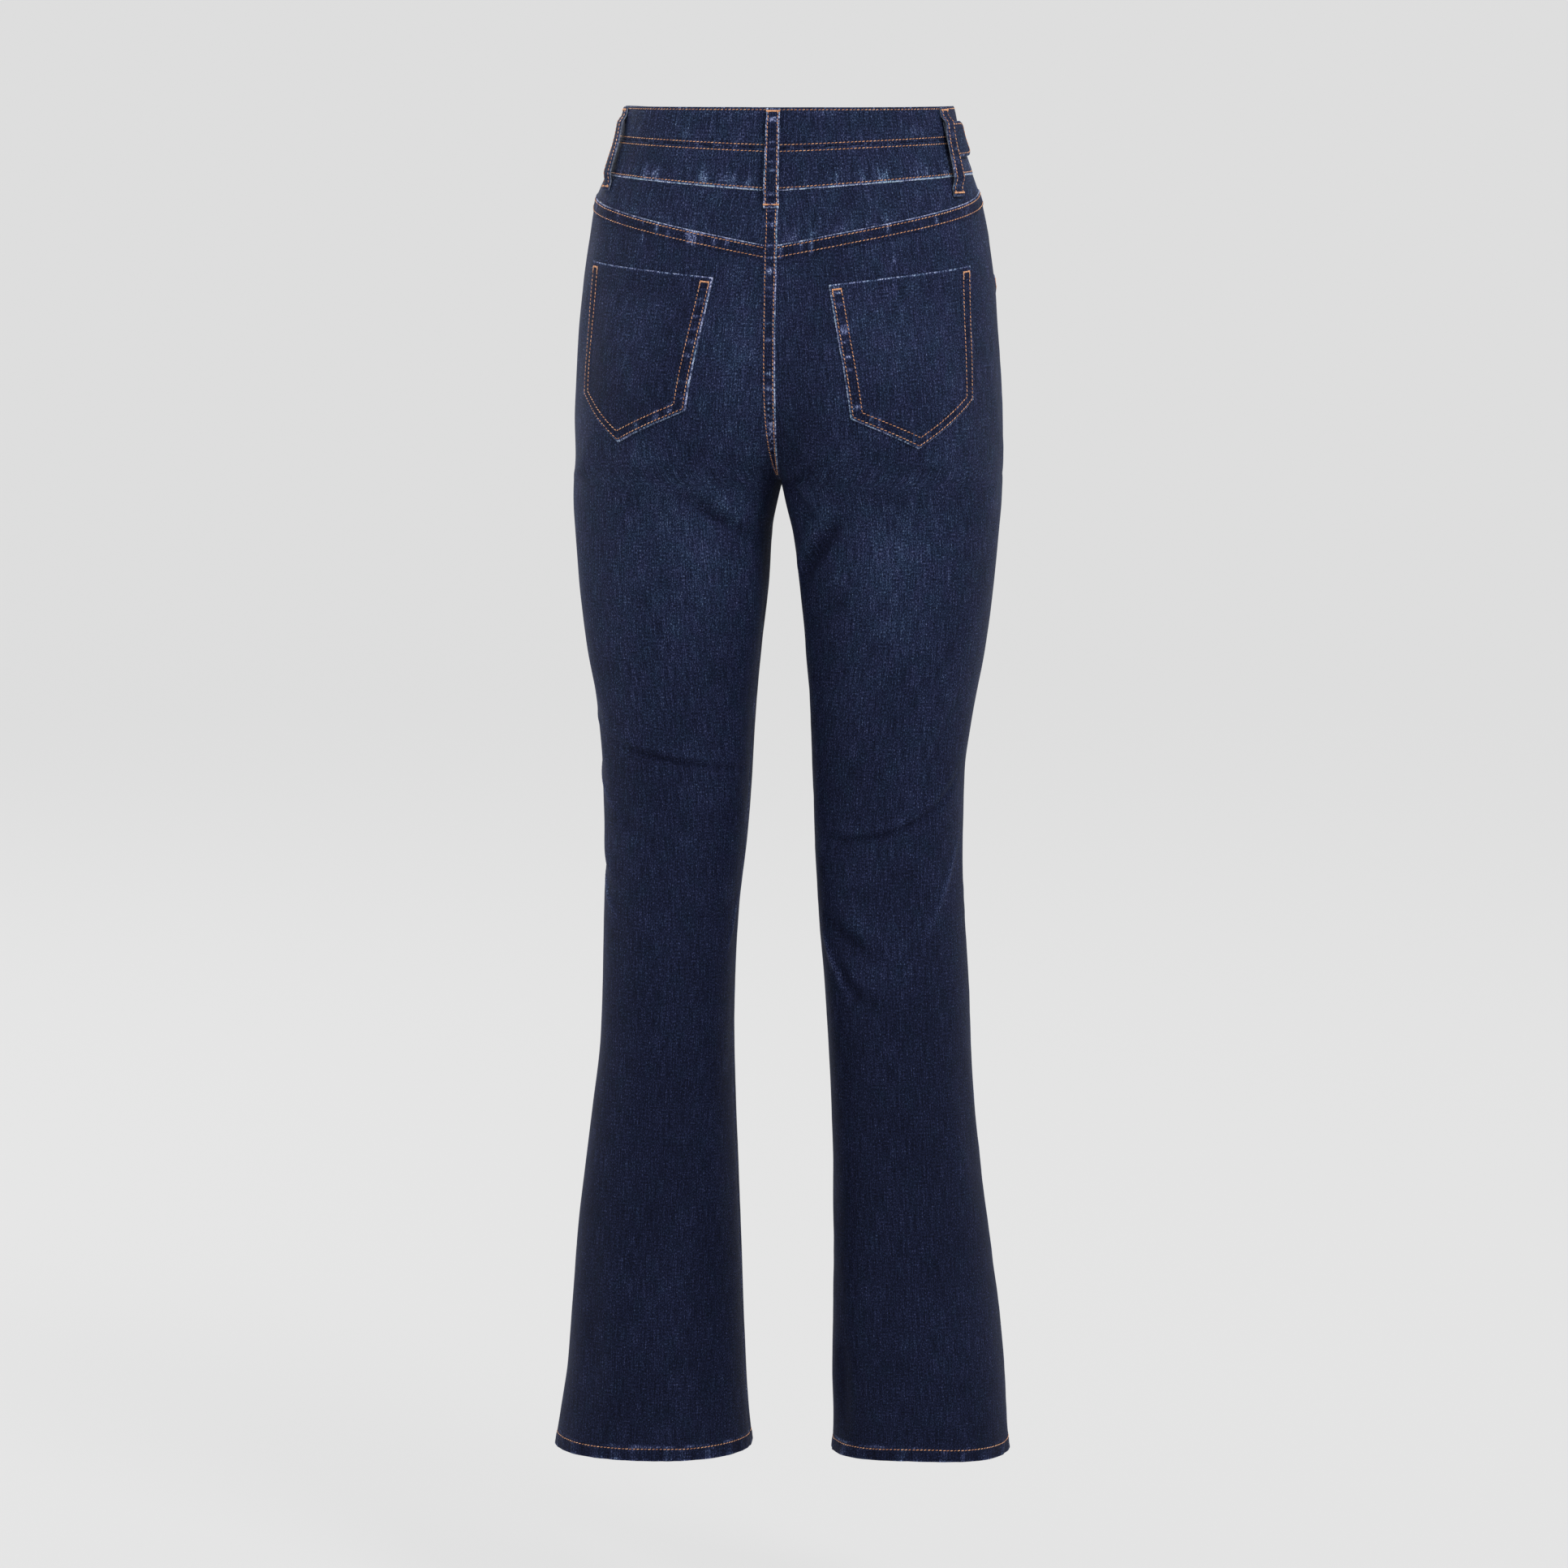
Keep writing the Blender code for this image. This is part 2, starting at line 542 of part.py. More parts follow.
def build_loop(halves, name):
    loop = dict(zip(LOOP_COLUMNS, LOOPS[name]))
    half = halves[loop["side"]]
    down = np.array([0, 0.35, 0.7, 1, 1.5, 2.2])
    length = -LOOP_DROP - loop["bottom_z"]
    fall = np.concatenate([down * LOOP_END, length - down[::-1] * LOOP_END])[:, None]
    u_middle = loop["u_top"] + (loop["u_bottom"] - loop["u_top"]) * fall / length
    top = along_waist(BAND_TOP, u_middle) - LOOP_DROP
    z = top - fall
    share = np.array([-0.5, 0.0, 0.5])[None, :] * LOOP_WIDTH / half.length(-0.03)
    u = u_middle + share
    rise = np.clip(np.minimum(fall, length - fall) / LOOP_END - 0.7, 0, 1)
    rise = rise * rise * (3 - 2 * rise)
    out = BAND_PROUD + PATCH_GAP + loop["lift"] * rise + 0 * u
    over = (u > 1)[..., None]
    other = halves["right" if loop["side"] == "left" else "left"]
    u_here = np.where(u > 1, 2 - u, u)

    def face(extra):
        points = np.where(over, other.surface(u_here, z, out + extra),
                          half.surface(u_here, z, out + extra))
        points[..., 0] = np.where(np.abs(u - 1) < 1e-9, 0.0, points[..., 0])
        return points

    add_wall(name, face(LOOP_CLOTH), face(0.0))


def build_tab(half):
    """A plain doubled tab with a rounded end, from under the loop towards the front."""
    along = np.linspace(0, 1, 9)[None, :]
    across = np.linspace(0, 1, 5)[:, None]
    u = TAB_U[0] + (TAB_U[1] - TAB_U[0]) * along
    middle, tall = (TAB_Z[0] + TAB_Z[1]) / 2, TAB_Z[0] - TAB_Z[1]
    narrow = 1 - 0.30 * np.clip((along - 0.72) / 0.28, 0, 1) ** 2.2
    z = middle + tall * (0.5 - across) * narrow
    out = BAND_PROUD + PATCH_GAP + TAB_LIFT * along * along * (3 - 2 * along)
    add_wall("side_tab", half.surface(u, z, out + TAB_CLOTH), half.surface(u, z, out))


def build_button(half, name, z):
    """A turned shank button on the band: a rim, a dished face and a low dome."""
    u = BUTTON_X / half.length(z)
    seat = half.surface(np.array([u]), np.array([z]), BAND_PROUD + PATCH_GAP)[0]
    front = half.surface(np.array([u]), np.array([z]), BUTTON_RADIUS)[0] - seat
    axis = front / np.linalg.norm(front)
    side = np.cross(axis, (0.0, 0.0, 1.0))
    side /= np.linalg.norm(side)
    up = np.cross(side, axis)
    profile = ((0.55, 0.0), (0.55, 0.35), (1.0, 0.40), (1.0, 0.78), (0.90, 1.0), (0.74, 0.92),
               (0.66, 0.74), (0.35, 0.80))
    turns = 24
    points = []
    for radius, height in profile:
        for k in range(turns):
            angle = 2 * np.pi * k / turns
            spoke = np.cos(angle) * side + np.sin(angle) * up
            points.append(seat + axis * height * BUTTON_HEIGHT + spoke * radius * BUTTON_RADIUS)
    faces = [tuple(range(turns))[::-1]]
    for ring in range(len(profile) - 1):
        for k in range(turns):
            a, b = ring * turns + k, ring * turns + (k + 1) % turns
            faces.append((a, b, b + turns, a + turns))
    faces.append(tuple(range((len(profile) - 1) * turns, len(profile) * turns)))
    add_solid(name, points, faces, METAL, 0.35, 1.0)


def main():
    for old in list(bpy.data.objects):
        bpy.data.objects.remove(old, do_unlink=True)
    halves = {side: Half(side) for side in ("left", "right")}
    for half in halves.values():
        build_front(half)
        build_back(half)
        build_yoke(half)
        build_facing(half)
        build_back_pocket(half)
    build_band(halves, "waistband_upper", BAND_TOP, BAND_JOIN, 0.0)
    build_band(halves, "waistband_lower", BAND_JOIN, BAND_LOW, SEAM_GAP)
    build_fly_shield(halves)
    for name in LOOPS:
        build_loop(halves, name)
    build_tab(halves["right"])
    middle = (BAND_TOP["front"] + BAND_JOIN["front"]) / 2
    lower = (BAND_JOIN["front"] + BAND_LOW["front"]) / 2
    build_button(halves["left"], "button_upper", middle)
    build_button(halves["left"], "button_lower", lower)


main()
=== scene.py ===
"""The looks of the bootcut jeans: fine cloth, sewing, worn denim and buttons round the solids.

Metres, +Z up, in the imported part's own frame: the front faces -Y, the wearer's left is +X, and
the origin is the centre of the waist opening. Each cloth piece is a thin closed shell on the
same surface as its solid, with finer folds, seams and puckers.

A place on a half of the garment is given by u and z: u runs along the level ring from 0 at the
centre front (or the inseam) over the side to 1 at the centre back (or the inseam again).
"""

import json

import bpy
import numpy as np
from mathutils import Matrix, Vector

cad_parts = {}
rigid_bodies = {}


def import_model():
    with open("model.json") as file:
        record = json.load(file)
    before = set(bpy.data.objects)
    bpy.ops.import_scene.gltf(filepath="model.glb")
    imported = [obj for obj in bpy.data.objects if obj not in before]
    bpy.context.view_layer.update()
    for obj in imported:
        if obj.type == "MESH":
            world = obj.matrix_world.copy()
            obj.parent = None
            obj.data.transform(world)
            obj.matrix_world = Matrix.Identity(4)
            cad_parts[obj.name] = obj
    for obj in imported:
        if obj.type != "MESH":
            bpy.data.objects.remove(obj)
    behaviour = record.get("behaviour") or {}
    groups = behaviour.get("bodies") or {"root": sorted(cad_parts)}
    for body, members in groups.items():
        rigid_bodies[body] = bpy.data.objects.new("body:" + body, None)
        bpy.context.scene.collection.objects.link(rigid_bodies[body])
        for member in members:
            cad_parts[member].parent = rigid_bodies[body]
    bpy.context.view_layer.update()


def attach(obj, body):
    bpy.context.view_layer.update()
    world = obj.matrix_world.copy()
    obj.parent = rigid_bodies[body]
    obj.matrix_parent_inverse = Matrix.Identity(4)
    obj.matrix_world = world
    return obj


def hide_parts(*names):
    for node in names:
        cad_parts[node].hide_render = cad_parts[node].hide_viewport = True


MM = 0.001

# Cloth and seams, as in the solids
CLOTH = 0.0014
BAND_CLOTH = 0.0026
# The shell of fine cloth is a little thinner than its solid
SHELL = 0.0012
HEM_HEIGHT = 0.011
SEAM_GAP = 0.0003
PATCH_GAP = 0.0006
CROTCH_Z = -0.297
HEM_Z = -1.093
BAND_TOP = {"front": -0.012, "side": 0.0, "back": 0.0}
BAND_JOIN = {"front": -0.037, "side": -0.026, "back": -0.032}
BAND_LOW = {"front": -0.064, "side": -0.054, "back": -0.0655}
YOKE_SIDE_Z = -0.066
YOKE_BACK_Z = -0.108
SIDE_SEAM = 0.485
# The level at which the waist's girth is taken
WAIST_Z = -0.03
# A level difference times this is the distance square to the yoke seam
YOKE_COSINE = 0.985

# Sections in millimetres, one row for each level, as in the solids
SECTION_COLUMNS = ("z", "outer_left", "inner_left", "outer_right", "inner_right",
                   "front", "back", "side_y", "inner_y")
SECTIONS = (
    (10, 127.5, -127.5, 127.5, -127.5, -91, 93, 0, 0),
    (0, 131, -131, 131, -131, -93, 96, 0, 0),
    (-26, 137, -137, 137, -137, -97, 100, 2, 2),
    (-52, 146.5, -146.5, 146.5, -146.5, -101, 105, 4, 4),
    (-77, 155.5, -155.5, 155.5, -155.5, -103, 110, 7, 8),
    (-105, 159, -159, 161, -161, -105, 116, 10, 14),
    (-142, 164, -158, 166, -158, -105, 123, 13, 22),
    (-180, 167.5, -132, 169, -132, -104, 129, 15, 30),
    (-220, 169.5, -82, 171.5, -82, -101, 131, 16, 37),
    (-255, 171, -36, 173, -36, -97, 128, 16, 42),
    (-280, 171, -10, 173.5, -10, -92, 123, 16, 45),
    (-297, 171.5, 0.2, 173.5, 0.2, -89, 118, 16, 45),
    (-314, 172, 5, 173, 4, -87, 113, 16, 45),
    (-340, 171, 10.5, 171, 9.5, -84, 107, 16, 42),
    (-380, 168.5, 13.5, 167, 14, -80, 100, 17, 38),
    (-433, 162, 20, 160, 18, -73, 93, 18, 33),
    (-486, 153.5, 25.5, 150, 21.5, -64, 88, 19, 30),
    (-539, 149, 29, 144, 23.5, -53, 82, 20, 28),
    (-593, 147.5, 33, 143, 24.5, -45, 78, 20, 26),
    (-646, 148, 38.5, 145, 27.5, -40, 79, 21, 25),
    (-700, 149, 42, 148, 33, -37, 83, 22, 25),
    (-754, 151.5, 43.5, 150, 36.5, -38, 85, 22, 25),
    (-808, 158.5, 42.5, 153.5, 38.5, -41, 85, 21, 24),
    (-863, 165.5, 40.5, 159, 39.5, -45, 86, 20, 22),
    (-917, 172, 38.5, 166, 39.5, -49, 87, 19, 20),
    (-972, 176.5, 37, 172.5, 39.5, -53, 88, 18, 18),
    (-1027, 180.5, 35, 177.5, 39.5, -56, 89, 17, 17),
    (-1054, 184.5, 33.5, 179.5, 40, -57, 89, 17, 16),
    (-1096, 191.5, 29.5, 183, 37.5, -58, 89, 17, 15),
    (-1110, 194, 28, 184, 36.5, -58, 89, 17, 15),
)
SQUARENESS = 2.2

# Rounded forms, as in the solids: u, z, reach_u, reach_z, height
FORMS = (
    (0.80, -0.215, 0.13, 0.060, 0.0080),
    (0.995, -0.215, 0.05, 0.060, -0.0035),
    (0.79, -0.330, 0.10, 0.030, -0.0040),
    (0.20, -0.120, 0.14, 0.060, 0.0030),
    (0.22, -0.560, 0.14, 0.060, 0.0040),
    (0.76, -0.700, 0.16, 0.070, 0.0040),
)

# Folds: u0, z0, u1, z1, bow, width, depth. Where depth is below zero a fold is a trough with a
# lip above it, else it is a ridge. bow is how far its middle hangs below the straight line
# between its ends.
FOLDS = {
    "left": (
        (0.808, -0.3035, 0.930, -0.3450, 0.0010, 0.0062, -0.0046),
        (0.620, -0.4980, 0.960, -0.5300, 0.0070, 0.0036, -0.0027),
        (0.530, -0.4820, 0.820, -0.5160, 0.0050, 0.0036, 0.0011),
        (0.650, -0.5600, 0.775, -0.5970, 0.0020, 0.0060, -0.0014),
        (0.870, -0.2660, 0.965, -0.2880, 0.0020, 0.0055, -0.0012),
        (0.700, -0.2860, 0.830, -0.2900, 0.0020, 0.0060, -0.0010),
        (0.820, -0.6550, 0.940, -0.6350, 0.0060, 0.0080, -0.0012),
        (0.500, -0.5900, 0.640, -0.6300, 0.0040, 0.0080, -0.0016),
        (0.860, -0.8600, 0.850, -1.0600, 0.0000, 0.0120, -0.0013),
        (0.640, -0.9000, 0.655, -1.0700, 0.0000, 0.0110, -0.0012),
        (0.740, -0.9600, 0.735, -1.0750, 0.0000, 0.0090, 0.0009),
        (0.060, -0.3350, 0.300, -0.3000, 0.0030, 0.0070, -0.0045),
        (0.050, -0.3560, 0.240, -0.3450, 0.0020, 0.0065, -0.0032),
        (0.060, -0.3000, 0.190, -0.2700, 0.0010, 0.0060, -0.0018),
        (0.180, -0.5200, 0.420, -0.5000, 0.0080, 0.0070, -0.0030),
        (0.110, -0.5500, 0.300, -0.5420, 0.0060, 0.0060, -0.0016),
        (0.120, -0.6100, 0.380, -0.6320, 0.0060, 0.0080, -0.0034),
        (0.150, -0.6500, 0.300, -0.6620, 0.0030, 0.0070, 0.0010),
        (0.250, -0.8800, 0.245, -1.0600, 0.0000, 0.0110, -0.0013),
    ),
    "right": (
        (0.948, -0.3790, 0.838, -0.3225, 0.0010, 0.0060, -0.0066),
        (0.930, -0.2880, 0.890, -0.3260, 0.0000, 0.0075, -0.0044),
        (0.690, -0.2865, 0.785, -0.2835, 0.0010, 0.0040, -0.0015),
        (0.915, -0.5810, 0.590, -0.5280, 0.0230, 0.0040, -0.0030),
        (0.905, -0.6420, 0.770, -0.6840, 0.0000, 0.0070, -0.0040),
        (0.880, -0.6830, 0.775, -0.7250, 0.0000, 0.0060, -0.0032),
        (0.880, -0.2720, 0.962, -0.3000, 0.0020, 0.0055, -0.0012),
        (0.893, -0.9850, 0.895, -1.0800, 0.0000, 0.0120, -0.0026),
        (0.780, -0.8800, 0.775, -1.0600, 0.0000, 0.0120, -0.0012),
        (0.640, -0.9400, 0.640, -1.0700, 0.0000, 0.0100, 0.0009),
        (0.070, -0.3420, 0.290, -0.3050, 0.0030, 0.0070, -0.0045),
        (0.060, -0.3640, 0.220, -0.3500, 0.0020, 0.0065, -0.0028),
        (0.065, -0.3050, 0.180, -0.2740, 0.0010, 0.0060, -0.0018),
        (0.150, -0.5150, 0.400, -0.5050, 0.0080, 0.0070, -0.0030),
        (0.120, -0.5520, 0.310, -0.5480, 0.0060, 0.0060, -0.0016),
        (0.130, -0.6000, 0.350, -0.6280, 0.0060, 0.0080, -0.0034),
        (0.160, -0.6440, 0.310, -0.6600, 0.0030, 0.0070, 0.0010),
        (0.230, -0.9000, 0.235, -1.0600, 0.0000, 0.0110, -0.0013),
    ),
}
FOLD_FREE_EDGE = 0.03
CENTRE_REACH = 0.05
HEM_RISE_Z = -1.030
HEM_RISE_U = 0.745
HEM_RISE_REACH = 0.13
HEM_RISE = {"left": (0.0, 0.0), "right": (0.0025, 0.0041)}

# Thin ridges near the legs' edges, with the folds' columns. The wear laid on them is a painted
# highlight along each crest
RIDGES = {
    "left": (
        (0.512, -0.5180, 0.660, -0.5680, 0.0020, 0.0030, 0.0011),
        (0.535, -0.6060, 0.650, -0.6520, 0.0010, 0.0026, 0.0012),
        (0.990, -0.6260, 0.920, -0.6830, 0.0010, 0.0026, 0.0011),
    ),
    "right": (
        (0.560, -0.5760, 0.680, -0.6680, 0.0010, 0.0026, 0.0010),
        (0.925, -0.6550, 0.845, -0.7110, 0.0000, 0.0032, 0.0016),
    ),
}

# Where the indigo is paler, softly, and one spot of painted shade: u, z, reach_u, reach_z,
# strength
FADES_AND_SHADE = {
    "left": (
        (0.815, -0.350, 0.105, 0.060, 0.75),
        (0.900, -0.318, 0.045, 0.014, 0.45),
        (0.780, -0.300, 0.060, 0.030, 0.20),
        (0.780, -0.440, 0.090, 0.050, 0.20),
        (0.945, -0.190, 0.030, 0.070, 0.50),
        (0.980, -0.240, 0.020, 0.050, 0.30),
        (0.220, -0.400, 0.075, 0.110, 0.95),
        (0.230, -0.570, 0.070, 0.060, 0.55),
    ),
    "right": (
        (0.776, -0.350, 0.085, 0.055, 0.65),
        (0.770, -0.400, 0.060, 0.050, 0.35),
        (0.740, -0.480, 0.080, 0.060, 0.10),
        # Painted shade: darker beside the centre back seam, in the seat's valley
        (0.935, -0.225, 0.045, 0.075, -0.35),
        (0.215, -0.405, 0.075, 0.110, 0.95),
        (0.225, -0.580, 0.070, 0.060, 0.55),
    ),
}

# The legs are darker lower down
DARKER_BELOW = (-0.30, -0.80)
DARKER_BY = 1.10

# Front pocket mouth and fly
MOUTH_WIDTH = 0.21
MOUTH_BOTTOM_Z = -0.135
FACING_UNDERLAP = 0.04
FACING_GAP = 0.0009
FLY_SHIELD_WIDTH = 0.036
FLY_BOTTOM_Z = -0.165
FLY_STRAIGHT_Z = -0.130
UNDERLAP = 0.034
BAND_PROUD = 0.0006
BAND_STEP_UNDER = 0.0005
BAND_STEP_RUN = 0.010

# Waistband tiers: top and low lines, gap under the top line, stitch rows' distances from the
# top and low lines, noise seed
TIERS = {
    "upper": (BAND_TOP, BAND_JOIN, 0.0, 0.0020, 0.0024, 13),
    "lower": (BAND_JOIN, BAND_LOW, SEAM_GAP, 0.0024, 0.0022, 14),
}

# Back patch pockets, flat sizes
POCKET_COLUMNS = ("from_centre", "top_z", "width", "side_height", "tip_height", "slope",
                  "lean", "tip_at")
POCKETS = {
    "left": (0.0450, -0.1330, 0.1235, 0.105, 0.1370, -0.085, -0.11, 0.545),
    "right": (0.0465, -0.1385, 0.1235, 0.105, 0.1355, -0.110, -0.11, 0.500),
}
POCKET_TAPER = 0.87
POCKET_INSETS = ((0.0023, 0.0023, 0.0023, 0.0023), (0.0092, 0.0078, 0.0078, 0.0092))
POCKET_TURN = 0.0042

# Darts from the yoke seam to the pocket: distance from the centre back at three levels
DARTS = {
    "left": ((-0.0860, -0.0984, -0.1400), (0.1044, 0.1087, 0.1150)),
    "right": ((-0.0900, -0.1025, -0.1400), (0.0922, 0.0949, 0.1025)),
}
DART_BOTTOM_Z = -0.142

# Belt loops, as in the solids
LOOP_WIDTH = 0.011
LOOP_CLOTH = 0.0020
LOOP_END = 0.008
LOOP_DROP = 0.001
# side, u_top, u_bottom, bottom_z, lift, worn
LOOPS = {
    "belt_loop_centre_back": ("left", 1.0, 1.0, -0.079, 0.0032, 1.0),
    "belt_loop_back_left": ("left", 0.588, 0.622, -0.067, 0.0028, 0.30),
    "belt_loop_back_right": ("right", 0.588, 0.622, -0.071, 0.0042, 0.45),
    "belt_loop_front_left": ("left", 0.250, 0.245, -0.075, 0.0032, 0.7),
    "belt_loop_front_right": ("right", 0.250, 0.245, -0.075, 0.0032, 0.7),
}
TAB_U = (0.600, 0.500)
TAB_Z = (-0.0125, -0.0405)
TAB_LENGTH = 0.044
TAB_CLOTH = 0.0018
TAB_LIFT = 0.0026
BUTTON_RADIUS = 0.0085
BUTTON_HEIGHT = 0.0038
BUTTON_X = 0.015
BUTTON_SIDES = 64
# Shares of the radius and the height, from the middle of the back to the middle of the face
BUTTON_PROFILE = (
    (0.00, 0.00), (0.55, 0.00), (0.56, 0.34), (0.90, 0.38), (0.99, 0.50), (1.00, 0.66),
    (0.97, 0.84), (0.92, 0.96), (0.86, 1.00), (0.80, 0.96), (0.75, 0.84), (0.70, 0.74),
    (0.58, 0.70), (0.55, 0.73), (0.51, 0.73), (0.48, 0.69), (0.34, 0.70), (0.27, 0.82),
    (0.16, 0.92), (0.00, 0.95))

# Sewing
STITCH_PITCH = 0.0031
STITCH_LENGTH = 0.0026
STITCH_RADIUS = 0.00030
STITCH_SLANT = 0.20
STITCH_UP = 0.00012
STITCH_SIDES = 5
# Along a stitch: places as shares of its length, widths and drops as shares of its radius
STITCH_RINGS = ((-0.40, -0.26, 0.26, 0.40), (0.72, 1.0, 1.0, 0.72), (-0.55, 0.0, 0.0, -0.55))
SEAT_ROW = 0.0036
STRIP_THICK = 0.0008
SEAT_FELL = 0.0118
MOUTH_FELL = 0.0105
SIDE_SEAM_TOP = {"front": -0.137, "back": -0.067}
# Slanted marks on the lower end of the centre seams' strips
RUNG_PITCH = 0.0054
RUNGS_BELOW = -0.220
YOKE_ROWS = (0.0024, 0.0095)
HEM_ROW = 0.0098

# Mesh columns, close together near a panel's edges, and rows
PANEL_STEP = 0.0031
BACK_GIRTH = 0.26
FRONT_GIRTH = 0.22
YOKE_TO_CROTCH = 0.21
EDGE_STEPS = (0.0, 0.0008, 0.0018, 0.003, 0.0045, 0.0065, 0.009)
# Below the crotch: down to each level in this many rows
ROW_LEVELS = ((-0.400, 48), (-0.478, 18), (-0.740, 120), (HEM_Z + 0.015, 76), (HEM_Z, 14))
STRIP_PLACES = np.array([-0.0053, -0.0052, -0.0048, -0.0042, -0.0036, -0.0028, -0.0018, -0.0009,
                         0.0, 0.0009, 0.0018, 0.0028, 0.0036, 0.0041, 0.0046, 0.0050])
FLY_EDGE_PLACES = np.array([-0.0040, -0.0039, -0.0034, -0.0026, -0.0016, -0.0006, 0.0004, 0.0014,
                            0.0024, 0.0034, 0.0044, 0.0052, 0.0058])

# Backdrop
BACKDROP = 0.745
FLOOR_Z = HEM_Z - 0.16
FLOOR_SIDES = 72

# Camera, and the level it looks at
LENS = 136.58
SHIFT_X = -0.0036
CAMERA_PLACE = (-0.6265, 4.7589, 0.054)
CAMERA_AIM_Z = -0.548
LIGHTS_AIM_Z = -0.5

# Shifts of the flat places, so that no two pieces show the same stretch of cloth
FLAT_SHIFTS = {"yoke": 3.1, "facing": 1.9, "band": 5.3, "strip": 6.7, "fly_edge": 7.9,
               "shield": 8.4, "pocket": 9.3, "loop": 12.1, "tab": 15.2}

LATTICE = np.random.RandomState(11).uniform(-1, 1, (16, 97, 97))


def unit(x):
    """x, held between 0 and 1."""
    return np.clip(x, 0, 1)


def ease(x):
    """x, held between 0 and 1, with a soft start and a soft end."""
    t = unit(x)
    return t * t * (3 - 2 * t)


def step_up(x, edge, width):
    """0 below the edge and 1 above it, over a ramp of this width."""
    return ease((x - edge) / width + 0.5)


def ridge(x, centre, width):
    return np.exp(-((x - centre) / width) ** 2)


def spots(rows, u, z):
    """The sum of soft round bumps: place, reach and height of each from its row."""
    total = np.zeros(np.broadcast(u, z).shape)
    for at_u, at_z, reach_u, reach_z, height in rows:
        total += height * np.exp(-((u - at_u) / reach_u) ** 2 - ((z - at_z) / reach_z) ** 2)
    return total


def noise(seed, a, b=0.0):
    """Smooth noise from -1 to 1, one bump for each step of 1 in a or b."""
    a, b = np.broadcast_arrays(np.asarray(a, float), np.asarray(b, float))
    i, j = np.floor(a).astype(int), np.floor(b).astype(int)
    s, t = ease(a - i), ease(b - j)
    table = LATTICE[seed % len(LATTICE)]
    size = len(table)
    i, next_i, j, next_j = i % size, (i + 1) % size, j % size, (j + 1) % size
    return ((1 - s) * ((1 - t) * table[i, j] + t * table[i, next_j])
            + s * ((1 - t) * table[next_i, j] + t * table[next_i, next_j]))


def smooth_between(knots, values, at):
    """A curve through the values that never swings past them (monotone cubic)."""
    slopes = np.diff(values) / np.diff(knots)
    tangents = np.zeros(len(knots))
    tangents[0], tangents[-1] = slopes[0], slopes[-1]
    before, after = slopes[:-1], slopes[1:]
    same_way = before * after > 0
    total = np.where(same_way, before + after, 1.0)
    tangents[1:-1] = np.where(same_way, 2 * before * after / total, 0.0)
    at = np.clip(at, knots[0], knots[-1])
    i = np.clip(np.searchsorted(knots, at) - 1, 0, len(knots) - 2)
    step = knots[i + 1] - knots[i]
    t = (at - knots[i]) / step
    return (values[i] * (1 + 2 * t) * (1 - t) ** 2 + values[i + 1] * t * t * (3 - 2 * t)
            + step * (tangents[i] * t * (1 - t) ** 2 - tangents[i + 1] * t * t * (1 - t)))


def section(side, z):
    """The ring's sizes at a level: outer, inner, front, back, side_y, inner_y."""
    table = np.array(SECTIONS[::-1]) * MM
    names = ("outer_" + side, "inner_" + side, "front", "back", "side_y", "inner_y")
    columns = [SECTION_COLUMNS.index(name) for name in names]
    return [smooth_between(table[:, 0], table[:, column], z) for column in columns]


def cut_angle(side, z):
    """How far round from the outer side a ring goes before it meets the centre line."""
    outer, inner = section(side, z)[:2]
    share = unit((outer + inner) / 2 / ((outer - inner) / 2))
    return np.where(inner >= 0, np.pi, np.pi / 2 + np.arcsin(share ** (SQUARENESS / 2)))


def ring_point(side, angle, z):
    """A point of the plain ring, before forms and folds, on the +X half."""
    outer, inner, front, back, side_y, inner_y = section(side, z)
    c, s = np.cos(angle), np.sin(angle)
    x = (outer + inner) / 2 + (outer - inner) / 2 * np.sign(c) * np.abs(c) ** (2 / SQUARENESS)
    middle = (side_y + inner_y) / 2
    reach = np.where(s < 0, middle - front, back - middle)
    y = middle + (side_y - inner_y) / 2 * c + reach * np.sign(s) * np.abs(s) ** (2 / SQUARENESS)
    return np.stack(np.broadcast_arrays(x, y, z), -1)


